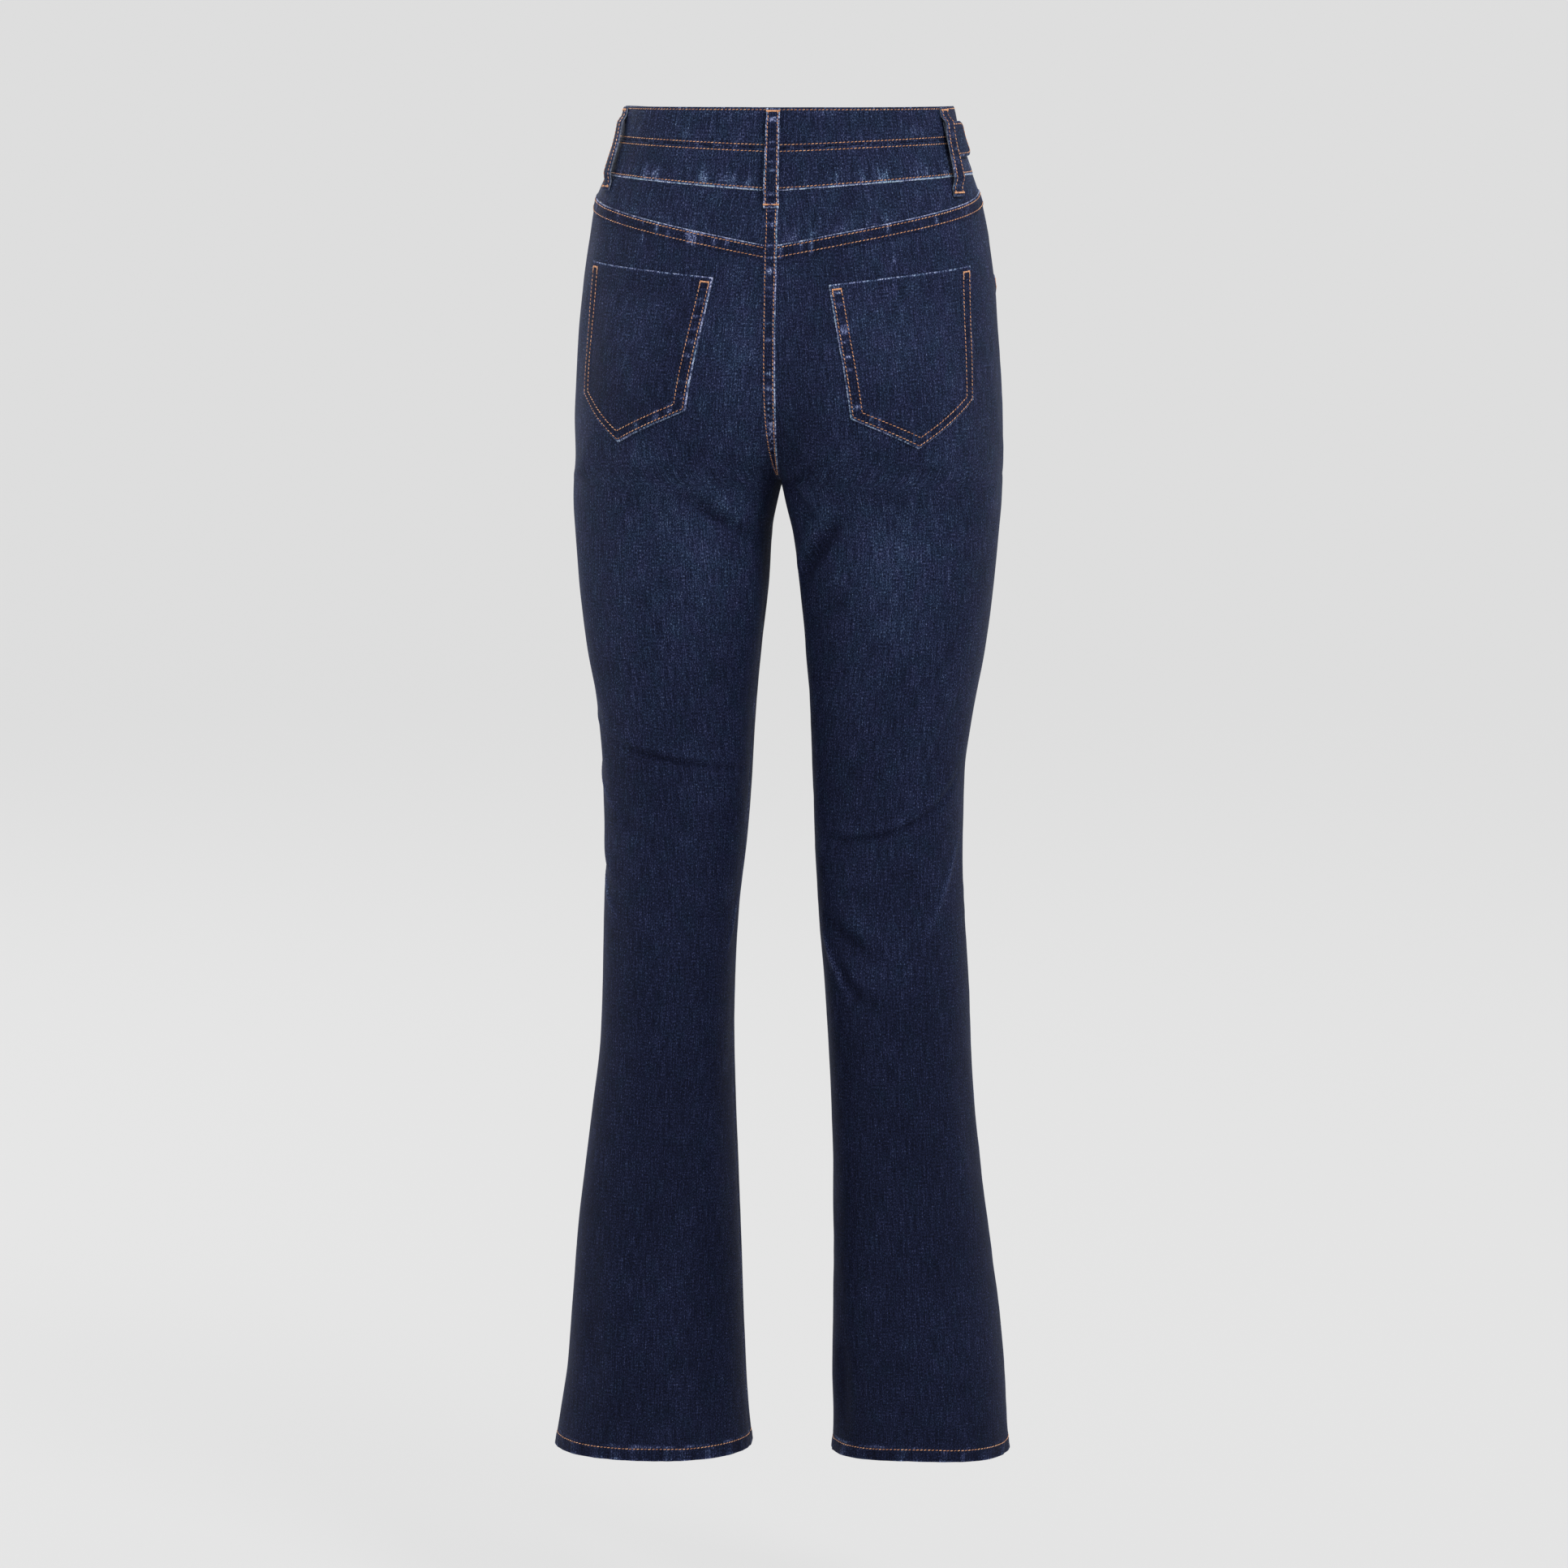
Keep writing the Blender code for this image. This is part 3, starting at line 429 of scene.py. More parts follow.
class Half:
    """One half of the garment: turns places u, z into points."""

    LEVELS = np.linspace(-1.11, 0.01, 449)
    SHARES = np.linspace(0, 1, 193)

    def __init__(self, side):
        self.side = side
        self.sign = 1 if side == "left" else -1
        self.seed = 0 if side == "left" else 5
        turns = np.linspace(-1, 1, 769)
        cut = cut_angle(side, self.LEVELS)[:, None]
        line = ring_point(side, turns[None, :] * cut, self.LEVELS[:, None])
        steps = np.linalg.norm(np.diff(line, axis=1), axis=2)
        run = np.concatenate([np.zeros((len(steps), 1)), np.cumsum(steps, axis=1)], axis=1)
        self.lengths = run[:, -1]
        self.turns = np.array([np.interp(self.SHARES * total, row, turns)
                               for row, total in zip(run, self.lengths)])

    def length(self, z):
        """The length of the ring at a level."""
        return np.interp(z, self.LEVELS, self.lengths)

    def gap(self, z):
        """Half a seam gap, as a share of the ring."""
        return SEAM_GAP / 2 / self.length(z)

    def angle(self, u, z):
        row = np.clip((z - self.LEVELS[0]) / (self.LEVELS[1] - self.LEVELS[0]), 0,
                      len(self.LEVELS) - 1.001)
        column = unit(u) * (len(self.SHARES) - 1.001)
        i, j = row.astype(int), column.astype(int)
        a, b = row - i, column - j
        turn = ((1 - a) * ((1 - b) * self.turns[i, j] + b * self.turns[i, j + 1])
                + a * ((1 - b) * self.turns[i + 1, j] + b * self.turns[i + 1, j + 1]))
        return turn * cut_angle(self.side, z)

    def folded(self, rows, u, z):
        """The height of the folds in a table."""
        total = np.zeros(np.broadcast(u, z).shape)
        for u0, z0, u1, z1, bow, width, depth in rows:
            around = self.length((z0 + z1) / 2)
            run_u, run_z = (u1 - u0) * around, z1 - z0
            long = np.hypot(run_u, run_z)
            du, dz = (u - u0) * around, z - z0
            along = unit((du * run_u + dz * run_z) / long ** 2)
            above = (dz * run_u - du * run_z) / long * np.sign(run_u)
            above = (above + 4 * bow * along * (1 - along)) / width
            shape = np.exp(-above ** 2)
            if depth < 0:
                shape = shape - 0.5 * np.exp(-((above - 1.7) / 1.4) ** 2)
            total += depth * np.sin(np.pi * along) ** 0.8 * shape
        return free_of_edges(u) * total

    def height(self, u, z):
        """How far the cloth stands out from the plain ring: rounded forms and folds."""
        return spots(FORMS, u, z) + self.folded(FOLDS[self.side] + RIDGES[self.side], u, z)

    def hem_rise(self, u, z):
        """How much higher than level the cloth near the hem hangs."""
        all_round, at_back = HEM_RISE[self.side]
        rise = all_round + at_back * np.exp(-((u - HEM_RISE_U) / HEM_RISE_REACH) ** 2)
        return ease((HEM_RISE_Z - z) / (HEM_RISE_Z - HEM_Z)) * rise

    def surface(self, u, z, out=0.0):
        """Points at the places u, z, moved out from the cloth's face by the distance out."""
        u, z, out = np.broadcast_arrays(*(np.asarray(value, float) for value in (u, z, out)))
        z = z + self.hem_rise(u, z)
        angle = self.angle(u, z)
        small = 1e-4
        around = (ring_point(self.side, angle + small, z)
                  - ring_point(self.side, angle - small, z))
        down = (ring_point(self.side, angle, z - small)
                - ring_point(self.side, angle, z + small))
        normal = np.cross(down, around)
        normal /= np.maximum(np.linalg.norm(normal, axis=-1, keepdims=True), 1e-12)
        # Forms and folds don't move the cloth away from the centre seam
        level = normal.copy()
        centre = unit(np.minimum(u, 1 - u) / CENTRE_REACH)
        level[..., 0] *= np.where(z > CROTCH_Z, centre, 1.0)
        point = ring_point(self.side, angle, z)
        point = point + level * self.height(u, z)[..., None] + normal * out[..., None]
        point[..., 0] = self.sign * np.maximum(point[..., 0], SEAM_GAP / 2)
        return point

    def at(self, u, z):
        """The places u, z as a function that turns a distance out into points."""
        return lambda out: self.surface(u, z, out)


def free_of_edges(u):
    """1 over most of the ring, and 0 at the inseam and the centre seams."""
    return ease(np.minimum(u, 1 - u) / FOLD_FREE_EDGE)


def along_waist(line, u):
    """A waist line's level at u, from its levels at the front, the side and the back."""
    levels = np.array([line["front"], line["side"], line["back"]])
    return smooth_between(np.array([0.0, 0.5, 1.0]), levels, np.asarray(u, float))


def yoke_line(u):
    share = unit((np.asarray(u, float) - SIDE_SEAM) / (1 - SIDE_SEAM))
    return YOKE_SIDE_Z + (YOKE_BACK_Z - YOKE_SIDE_Z) * share


def mouth_top():
    return along_waist(BAND_LOW, SIDE_SEAM - MOUTH_WIDTH) - SEAM_GAP


def mouth_edge(z):
    """Where the front panel stops at the side: at the pocket mouth, or at the side seam."""
    share = unit((mouth_top() - z) / (mouth_top() - MOUTH_BOTTOM_Z))
    return SIDE_SEAM - MOUTH_WIDTH * np.sqrt(1 - share ** 2)


def fly_depth(from_front, z):
    """How far a place on the left front is outside the fly's J line: negative inside it."""
    down = np.maximum(FLY_STRAIGHT_Z - z, 0)
    tall = FLY_STRAIGHT_Z - (FLY_BOTTOM_Z + 0.002)
    share = np.hypot(from_front / FLY_SHIELD_WIDTH, down / tall)
    return (share - 1) * FLY_SHIELD_WIDTH


def ticks(seed, along, across):
    """Short pale marks across a seam, from 0 to 1, in uneven groups."""
    line = noise(seed, along / 0.0025, across / 0.030)
    group = noise(seed + 5, along / 0.021, 0.5)
    return unit(2.6 * line - 0.75 + 0.8 * group)


def sewn_strip(seed, along, across, wide):
    """A doubled strip from its pale edge at 0 to wide, dark and puckered between its rows."""
    inside = step_up(across, 0.0, 0.0008) * (1 - step_up(across, wide, 0.0016))
    wave = noise(seed, along / 0.0062 + across / 0.02, across / 0.012)
    fine = noise(seed + 1, along / 0.0019, across / 0.0022)
    height = inside * (STRIP_THICK + 0.00032 * wave)
    marks = ticks(seed + 2, along, across) * unit(0.80 + 0.40 * fine)
    edge = ridge(across, 0.0004, 0.0007) * unit(0.80 + 0.35 * fine + 0.25 * wave)
    return height, 0.60 * inside * marks + 1.15 * edge, inside


def cloth_relief(half, u, z):
    """What the fine cloth adds to the plain form at the places u, z: height; worn marks, with a
    painted highlight along the thin ridges; and a paler or darker indigo, with painted shade in
    the folds' troughs.
    """
    seed = half.seed
    around = half.length(z)
    from_back, from_front = (1 - u) * around, u * around
    from_side = np.abs(u - SIDE_SEAM) * around
    from_inseam = np.where(z < CROTCH_Z, np.minimum(from_back, from_front), 1.0)
    from_hem = z - HEM_Z
    back = (u >= SIDE_SEAM) * 1.0
    fine = noise(seed + 3, from_front / 0.0021, z / 0.0021)

    # The cloth is never quite even
    height = free_of_edges(u) * (0.0007 * noise(seed + 1, from_front / 0.042, z / 0.105)
                                 + 0.0004 * noise(seed + 2, from_front / 0.017, z / 0.060))
    wear_and_highlight, fade_and_shade = np.zeros(height.shape), np.zeros(height.shape)

    # Seat: the leg panel's doubled top lies over the yoke
    below = (yoke_line(u) - z) * YOKE_COSINE
    strip, marks, inside = sewn_strip(seed + 4, from_back, below, SEAT_FELL)
    height += back * strip
    wear_and_highlight += back * marks
    fade_and_shade -= 0.8 * back * inside
    levels, places = DARTS[half.side]
    dart = from_back - np.interp(-z, -np.array(levels), places)
    beside = back * (z > DART_BOTTOM_Z) * step_up(below, 0.010, 0.002)
    height += beside * (0.0004 * step_up(dart, 0.0, 0.0016) * (1 - step_up(dart, 0.012, 0.012)))
    wear_and_highlight += beside * 0.60 * ridge(dart, 0.0, 0.0006) * unit(0.55 + 0.5 * fine)
    wear_and_highlight += beside * 0.12 * ridge(dart, -0.004, 0.004) * unit(fine + 0.1)

    # Side seam and inseam: a thin valley, small puckers and a little wear
    side_top = np.where(u < SIDE_SEAM, SIDE_SEAM_TOP["front"], SIDE_SEAM_TOP["back"])
    for distance, shown, pick in ((from_side, z < side_top, 6),
                                  (from_inseam, z < CROTCH_Z - 0.004, 7)):
        pucker = noise(seed + pick, z / 0.0085, distance / 0.02) * np.exp(-distance / 0.010)
        height += shown * (0.00030 * pucker - 0.00035 * ridge(distance, 0.0, 0.0013))
        wear_and_highlight += shown * 0.55 * ridge(distance, 0.0012, 0.0012) * unit(0.35 + 0.6 * fine)
        wear_and_highlight += shown * 0.22 * unit(pucker)

    # Hem: turned up, pulled in along its row, roped below it
    rope = noise(seed + 8, (from_front + 0.5 * from_hem) / 0.0056, from_hem / 0.02)
    turned = 1 - step_up(from_hem, HEM_HEIGHT, 0.0024)
    height += turned * (0.0004 + 0.00055 * rope) - 0.00045 * ridge(from_hem, HEM_ROW, 0.0010)
    wear_and_highlight += turned * 0.20 * unit(rope + 0.25 * fine - 0.15)
    fade_and_shade += turned * 1.1 * rope
    patchy = unit(noise(seed + 9, from_front / 0.011, 0.5) + 0.35 + 0.5 * fine)
    wear_and_highlight += 0.62 * ridge(from_hem, HEM_ROW + 0.0018, 0.0013) * patchy
    wear_and_highlight += 0.45 * ridge(from_hem, 0.0, 0.0012) * unit(0.5 + fine)

    # Front: the doubled pocket mouth and the fly
    wide, tall = MOUTH_WIDTH * around, mouth_top() - MOUTH_BOTTOM_Z
    x, y = (SIDE_SEAM - u) * around / wide, (mouth_top() - z) / tall
    from_mouth = (x * x + y * y - 1) / (2 * np.hypot(x / wide, y / tall) + 1e-6)
    front = (u < SIDE_SEAM) * (z > MOUTH_BOTTOM_Z - 0.02) * 1.0
    strip, marks, inside = sewn_strip(seed + 10, z, from_mouth, MOUTH_FELL)
    height += front * strip
    wear_and_highlight += front * marks
    fade_and_shade -= 0.5 * front * inside
    if half.side == "left":
        fly = fly_depth(from_front, z)
        height += (1 - step_up(fly, 0.0, 0.0020)) * 0.0005
        band = ridge(fly, -0.004, 0.0035) * (z > FLY_BOTTOM_Z - 0.01)
        height += 0.0003 * band * noise(11, z / 0.0062 + from_front / 0.02, from_front / 0.012)
        wear_and_highlight += 0.5 * band * ticks(12, z, from_front)

    fade_and_shade += spots(FADES_AND_SHADE[half.side], u, z)
    fade_and_shade -= DARKER_BY * np.interp(-z, (-DARKER_BELOW[0], -DARKER_BELOW[1]), (0, 1))
    # Painted shade darkens the folds' troughs. Their ridges and lips are paler, partly from wear
    # and partly as a painted highlight
    fade_and_shade += np.clip(half.folded(FOLDS[half.side], u, z) / 0.0030, -2.2, 1.0) * 0.55
    # Painted highlight: the thin ridges near the legs' edges are made paler through the wear
    # values
    wear_and_highlight += half.folded(RIDGES[half.side], u, z) / 0.0012 * 0.30
    return height, unit(wear_and_highlight), fade_and_shade


# Meshes

def add_object(name, data):
    made = bpy.data.objects.new(name, data)
    bpy.context.scene.collection.objects.link(made)
    return made


def shell_quads(rows, columns):
    """Faces of a closed shell: an outer grid, then an inner one of the same size."""
    count = rows * columns
    index = np.arange(count).reshape(rows, columns)
    face = np.stack([index[:-1, :-1], index[:-1, 1:], index[1:, 1:], index[1:, :-1]],
                    -1).reshape(-1, 4)
    rim = np.concatenate([index[0], index[1:, -1], index[-1, -2::-1], index[-2:0:-1, 0]])
    after = np.roll(rim, -1)
    side = np.stack([after, rim, rim + count, after + count], -1)
    return np.concatenate([face, face[:, ::-1] + count, side])


def turned_faces(rings, sides):
    """Quads between closed rings of vertices, and triangles that cap both ends round two
    middle vertices, which follow the rings."""
    index = np.arange(rings * sides).reshape(rings, sides)
    after = np.roll(index, -1, axis=1)
    quads = np.stack([index[:-1], after[:-1], after[1:], index[1:]], -1).reshape(-1, 4)
    middle = np.full(sides, index.size)
    return quads, np.concatenate([np.stack([middle, after[0], index[0]], -1),
                                  np.stack([middle + 1, index[-1], after[-1]], -1)])


def add_mesh(name, points, quads, material, triangles=None, flat=None, values=None,
             sharp=0.9):
    """A mesh from arrays, its faces turned to point out, with its flat places and values."""
    a, b, c, d = (points[quads[:, k]] for k in range(4))
    volume = np.einsum("ij,ij->", a, np.cross(b, c)) + np.einsum("ij,ij->", a, np.cross(c, d))
    if volume < 0:
        quads = quads[:, ::-1]
        triangles = None if triangles is None else triangles[:, ::-1]
    corners = quads.ravel()
    starts = np.arange(len(quads)) * 4
    if triangles is not None:
        starts = np.concatenate([starts, len(corners) + np.arange(len(triangles)) * 3])
        corners = np.concatenate([corners, triangles.ravel()])
    mesh = bpy.data.meshes.new(name)
    mesh.vertices.add(len(points))
    mesh.vertices.foreach_set("co", points.astype(np.float32).ravel())
    mesh.loops.add(len(corners))
    mesh.loops.foreach_set("vertex_index", corners.astype(np.int32))
    mesh.polygons.add(len(starts))
    mesh.polygons.foreach_set("loop_start", starts.astype(np.int32))
    mesh.update(calc_edges=True)
    if flat is not None:
        layer = mesh.uv_layers.new(name="cloth")
        layer.data.foreach_set("uv", flat[corners].astype(np.float32).ravel())
    for key, value in (values or {}).items():
        attribute = mesh.attributes.new(key, "FLOAT", "POINT")
        attribute.data.foreach_set("value", value.astype(np.float32).ravel())
    mesh.validate()
    mesh.shade_smooth()
    mesh.set_sharp_from_angle(angle=sharp)
    mesh.materials.append(material)
    made = add_object(name, mesh)
    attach(made, "root")
    return made


def add_cloth(name, place, outs, flat, wear_and_highlight, fade_and_shade, material,
              stands_in=True):
    """A piece of cloth: a closed thin shell between two distances out.
    It stands for the solid of its name, if there is one."""
    outer, inner = place(outs[0]), place(outs[1])
    rows, columns = outer.shape[:2]
    points = np.concatenate([outer.reshape(-1, 3), inner.reshape(-1, 3)])
    flats = np.concatenate([flat.reshape(-1, 2)] * 2)
    zero = np.zeros(rows * columns)
    values = {
        "wear_and_highlight": np.concatenate([wear_and_highlight.ravel(), zero]),
        "fade_and_shade": np.concatenate([fade_and_shade.ravel(), zero]),
        "lining": np.concatenate([zero, zero + 1]),
    }
    made = add_mesh(name, points, shell_quads(rows, columns), material, None, flats, values)
    if stands_in:
        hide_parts(name)
    across = np.linalg.norm(np.diff(outer, axis=1), axis=2).sum(axis=1).max()
    down = np.linalg.norm(np.diff(outer, axis=0), axis=2).sum(axis=0).max()


def spaced(length, fine_ends, step):
    """Shares from 0 to 1 along a length: close together near both ends, then even."""
    ends = np.array(fine_ends)
    middle = np.arange(ends[-1] + step, length - ends[-1] - step / 2, step)
    return np.concatenate([ends, middle, (length - ends)[::-1]]) / length


def rows_down(top, shares):
    """Levels from a top edge to the hem, a row for each ring and a column for each top."""
    above = top[None, :] + (CROTCH_Z - top[None, :]) * shares[:, None]
    starts = (CROTCH_Z,) + tuple(level for level, steps in ROW_LEVELS)
    below = np.concatenate([np.linspace(start, level, steps + 1)[1:]
                            for start, (level, steps) in zip(starts, ROW_LEVELS)])
    return np.concatenate([above, np.repeat(below[:, None], len(top), axis=1)])


def grain_place(half, u, z, shift):
    """Flat places on a half, with the warp running down the middle of each panel."""
    middle = np.where(u < SIDE_SEAM, 0.24, 0.745)
    return np.stack([(u - middle) * half.length(z) + shift, z + 0 * u], -1)


def build_panel(half, name, u, z, material):
    """A leg panel on its surface, with all its seams and the turned hem."""
    u = np.clip(u, half.gap(z), 1 - half.gap(z))
    height, wear_and_highlight, fade_and_shade = cloth_relief(half, u, z)
    thick = SHELL + 0.0010 * (1 - step_up(z - HEM_Z, HEM_HEIGHT, 0.0020))
    add_cloth(name, half.at(u, z), (height, height - thick),
              grain_place(half, u, z, 0.7 * half.seed), wear_and_highlight, fade_and_shade, material)


def build_back(half, material):
    share = spaced(BACK_GIRTH, EDGE_STEPS, PANEL_STEP)
    u_top = SIDE_SEAM + (1 - SIDE_SEAM) * share
    strip = np.array([0.0, 0.0005, 0.0010, 0.0018, 0.0028, 0.004, 0.0052, 0.0064, 0.0076,
                      0.0088, 0.010, 0.0112, 0.0124, 0.0140]) / YOKE_TO_CROTCH
    shares = np.concatenate([strip, np.linspace(strip[-1], 1, 62)[1:]])
    z = rows_down(yoke_line(u_top) - SEAM_GAP, shares)
    edge = half.gap(z)
    u = SIDE_SEAM + edge + (1 - SIDE_SEAM - edge) * share[None, :]
    build_panel(half, "back_" + half.side, u, z, material)


def build_front(half, material):
    share = spaced(FRONT_GIRTH, EDGE_STEPS, PANEL_STEP)
    top = along_waist(BAND_LOW, (SIDE_SEAM - MOUTH_WIDTH) * share) - SEAM_GAP
    mouth_share = (mouth_top() - MOUTH_BOTTOM_Z) / (mouth_top() - CROTCH_Z)
    at_mouth = mouth_share * np.sin(np.linspace(0, np.pi / 2, 34))
    z = rows_down(top, np.concatenate([at_mouth, np.linspace(mouth_share, 1, 46)[1:]]))
    u = (mouth_edge(z) - half.gap(z)) * share[None, :]
    build_panel(half, "front_" + half.side, u, z, material)


def build_yoke(half, material):
    u = SIDE_SEAM + (1 - SIDE_SEAM) * spaced(BACK_GIRTH, EDGE_STEPS, PANEL_STEP)[None, :]
    top = along_waist(BAND_LOW, u) - SEAM_GAP
    z = top + (yoke_line(u) - top) * np.linspace(0, 1, 18)[:, None]
    u = np.clip(u, SIDE_SEAM + half.gap(z), 1 - half.gap(z))
    height, wear_and_highlight, fade_and_shade = cloth_relief(half, u, z)
    above = z - yoke_line(u)
    height = height * step_up(above, 0.001, 0.002)
    wear_and_highlight = wear_and_highlight * step_up(above, 0.002, 0.002)
    seat = noise(half.seed + 12, (1 - u) * half.length(z) / 0.0065, z / 0.02)
    wear_and_highlight += 0.30 * ridge(above, 0.003, 0.004) * unit(seat)
    add_cloth("yoke_" + half.side, half.at(u, z), (height, height - SHELL),
              grain_place(half, u, z, FLAT_SHIFTS["yoke"] + half.seed), wear_and_highlight, fade_and_shade + 0.12,
              material)


def build_facing(half, material):
    down = np.linspace(0, 1, 30)[:, None]
    z = mouth_top() + (MOUTH_BOTTOM_Z - mouth_top()) * np.sin(down * np.pi / 2)
    inner_u = mouth_edge(z) - FACING_UNDERLAP
    u = inner_u + (SIDE_SEAM - half.gap(z) - inner_u) * np.linspace(0, 1, 36)[None, :]
    z = z + (along_waist(BAND_LOW, u) - SEAM_GAP - mouth_top()) * (1 - down)
    under = CLOTH + FACING_GAP
    quiet = np.zeros(u.shape)
    add_cloth("front_pocket_facing_" + half.side, half.at(u, z),
              (-under + 0.0002, -under - 0.0010),
              np.stack([u * half.length(z) + FLAT_SHIFTS["facing"], z], -1), quiet, quiet,
              material)


def on_halves(halves, on_left, middle, u, z):
    """Places on the left half where on_left, else on the right, as a function of the distance
    out. x is 0 where middle is 0."""
    def place(out):
        points = np.where(on_left[..., None], halves["left"].surface(u, z, out),
                          halves["right"].surface(u, z, out))
        points[..., 0] = np.where(np.abs(middle) < 1e-9, 0.0, points[..., 0])
        return points

    return place


def waist_run(halves, run, z):
    """Places on the whole waist. run goes from -1 at the centre front over the right side to
    0 at the centre back and to 1 at the centre front again, and on past -1 or 1."""
    on_right = ((run > -1) & (run <= 0)) | (run > 1)
    return on_halves(halves, ~on_right, run, np.abs(1 - np.abs(run)), z)


def band_out(halves, tier, run, z):
    """How far a waistband tier's face stands out at a place, and its wear."""
    around = halves["left"].length(WAIST_Z)
    step = BAND_STEP_RUN / around
    dip = (BAND_CLOTH + BAND_STEP_UNDER) * ease((-1 + step - run) / step)
    u = np.abs(1 - np.abs(run))
    top, low, _, row_top, row_low, seed = TIERS[tier]
    along = run * around
    from_top, from_low = along_waist(top, u) - z, z - along_waist(low, u)
    fine = noise(seed, along / 0.0020, z / 0.0022)
    wave = noise(seed + 1, along / 0.0075, z / 0.05)
    soft = noise(seed + 2, along / 0.034, z / 0.03)
    height = 0.00045 * soft - 0.0007 * (1 - step_up(from_top, 0.0004, 0.0016))
    height -= 0.0006 * (1 - step_up(from_low, 0.0004, 0.0014))
    height -= 0.00022 * ridge(from_top, row_top, 0.0009)
    height -= 0.00025 * ridge(from_low, row_low, 0.0009)
    near_low = np.exp(-np.maximum(from_low - row_low, 0) / 0.0085)
    height += 0.00028 * wave * near_low * (from_low > 0)
    if tier == "upper":
        wear_and_highlight = 0.40 * ridge(from_low, 0.0003, 0.0011) * unit(0.45 + fine)
        wear_and_highlight += 0.42 * ridge(from_top, 0.0004, 0.0008) * unit(0.3 + fine)
        patchy = unit(noise(seed + 1, along / 0.021, 0.3) - 0.1 + 0.5 * fine)
        wear_and_highlight += 0.30 * ridge(from_top, 0.0048, 0.0016) * patchy
        wear_and_highlight += 0.20 * ridge(from_low, 0.008, 0.005) * ticks(seed + 3, along, from_low)
    else:
        wear_and_highlight = 1.15 * ridge(from_low, 0.0003, 0.0008) * unit(0.80 + 0.40 * fine)
        wear_and_highlight += 0.34 * ridge(from_top, 0.0002, 0.0012) * unit(0.4 + fine)
        marks = ticks(seed + 3, along, from_low) * unit(0.80 + 0.40 * fine)
        wear_and_highlight += 0.42 * marks * ridge(from_low, 0.0060, 0.0060)
        wear_and_highlight += 0.10 * unit(noise(seed + 2, along / 0.013, z / 0.018) + 0.4 * fine)
    return BAND_PROUD - dip + height, unit(wear_and_highlight)


def build_band(halves, tier, material):
    around = halves["left"].length(WAIST_Z)
    under = UNDERLAP / around
    step = BAND_STEP_RUN / around
    run = np.concatenate([
        np.linspace(-1 - under, -1, 20)[:-1],
        -1 + step * np.linspace(0.02, 1.0, 9),
        np.linspace(-1 + 1.25 * step, 1 - 0.4 * step, 370),
        1 - step * np.array([0.30, 0.20, 0.12, 0.06]),
        [1 - SEAM_GAP / 2 / around],
    ])
    run[np.argmin(np.abs(run))] = 0.0
    run = run[None, :]
    u = np.abs(1 - np.abs(run))
    down = spaced(0.0270, (0.0, 0.0004, 0.0010, 0.0017, 0.0024, 0.0034), 0.0021)[:, None]
    top, low, drop = TIERS[tier][:3]
    top = along_waist(top, u) - drop
    z = top + (along_waist(low, u) - top) * down
    out, wear_and_highlight = band_out(halves, tier, run + 0 * z, z)
    ends = np.minimum(1 - run, 1.0) * around
    out = out - 0.0006 * (1 - step_up(ends, 0.0004, 0.0016))
    wear_and_highlight = wear_and_highlight + 0.6 * ridge(ends, 0.0002, 0.0009)
    fade_and_shade = 0.10 + 0.08 * noise(15, run * around / 0.06, z / 0.03)
    # Painted shade in the groove where the two waistband tiers meet
    fade_and_shade = fade_and_shade - 1.1 * ridge(z, along_waist(BAND_JOIN, u) + 0.0004, 0.0020)
    add_cloth("waistband_" + tier, waist_run(halves, run, z),
              (out, out - (BAND_CLOTH - 0.0004)),
              np.stack([run * around + FLAT_SHIFTS["band"] + 0 * z, z], -1), wear_and_highlight, fade_and_shade,
              material)


def beside_centre(halves, w, z, front):
    """u at a distance w to the wearer's left of a centre seam."""
    share = np.abs(w) / halves["left"].length(z)
    return share if front else 1 - share


def across_centre(halves, w, z, front=False):
    return on_halves(halves, w > 0, w, beside_centre(halves, w, z, front), z)


def centre_out(halves, w, z, front=False):
    """How far the two sides' cloth stands out beside a centre seam."""
    u = beside_centre(halves, w, z, front)
    left, right = (cloth_relief(halves[side], u, z)[0] for side in ("left", "right"))
    share = step_up(w, 0.0, 0.0030)
    height = share * left + (1 - share) * right
    return height if front else height * step_up(yoke_line(u) - z, 0.0003, 0.0010)


def strip_out(w, z, front):
    """The felled strip's own height and wear."""
    seed = 4 if front else 2
    inside = step_up(w, STRIP_PLACES[0] + 0.0004, 0.0010)
    taper = 1 - step_up(w, STRIP_PLACES[-1] - 0.0012, 0.0026)
    wave = noise(seed, (z + 0.6 * w) / 0.0068, w / 0.010)
    fine = noise(seed + 1, z / 0.0019, w / 0.0019)
    between = ridge(w, 0.0, 0.0030)
    height = inside * (0.00095 * (0.25 + 0.75 * taper) + 0.00035 * between * wave)
    height -= 0.00022 * (ridge(w, -SEAT_ROW, 0.0008) + ridge(w, SEAT_ROW, 0.0008))
    wear_and_highlight = 0.80 * between * ticks(seed + 2, z, w) * unit(0.80 + 0.40 * fine)
    # Lower down the marks are even and slanted, like rungs
    rungs = unit(2.0 * np.sin(2 * np.pi * (z - 0.35 * w) / RUNG_PITCH) - 0.6)
    low = 1 - step_up(z, RUNGS_BELOW, 0.050)
    wear_and_highlight += 1.10 * low * between * rungs * unit(0.75 + 0.40 * fine)
    wear_and_highlight += ridge(w, STRIP_PLACES[0] + 0.0004, 0.0007) * unit(0.75 + 0.40 * fine)
    wear_and_highlight += 0.30 * ridge(w, STRIP_PLACES[-1] - 0.0006, 0.0010) * unit(0.3 + fine)
    return height, unit(wear_and_highlight) * (0.75 + 0.25 * step_up(z, CROTCH_Z + 0.031, 0.040))


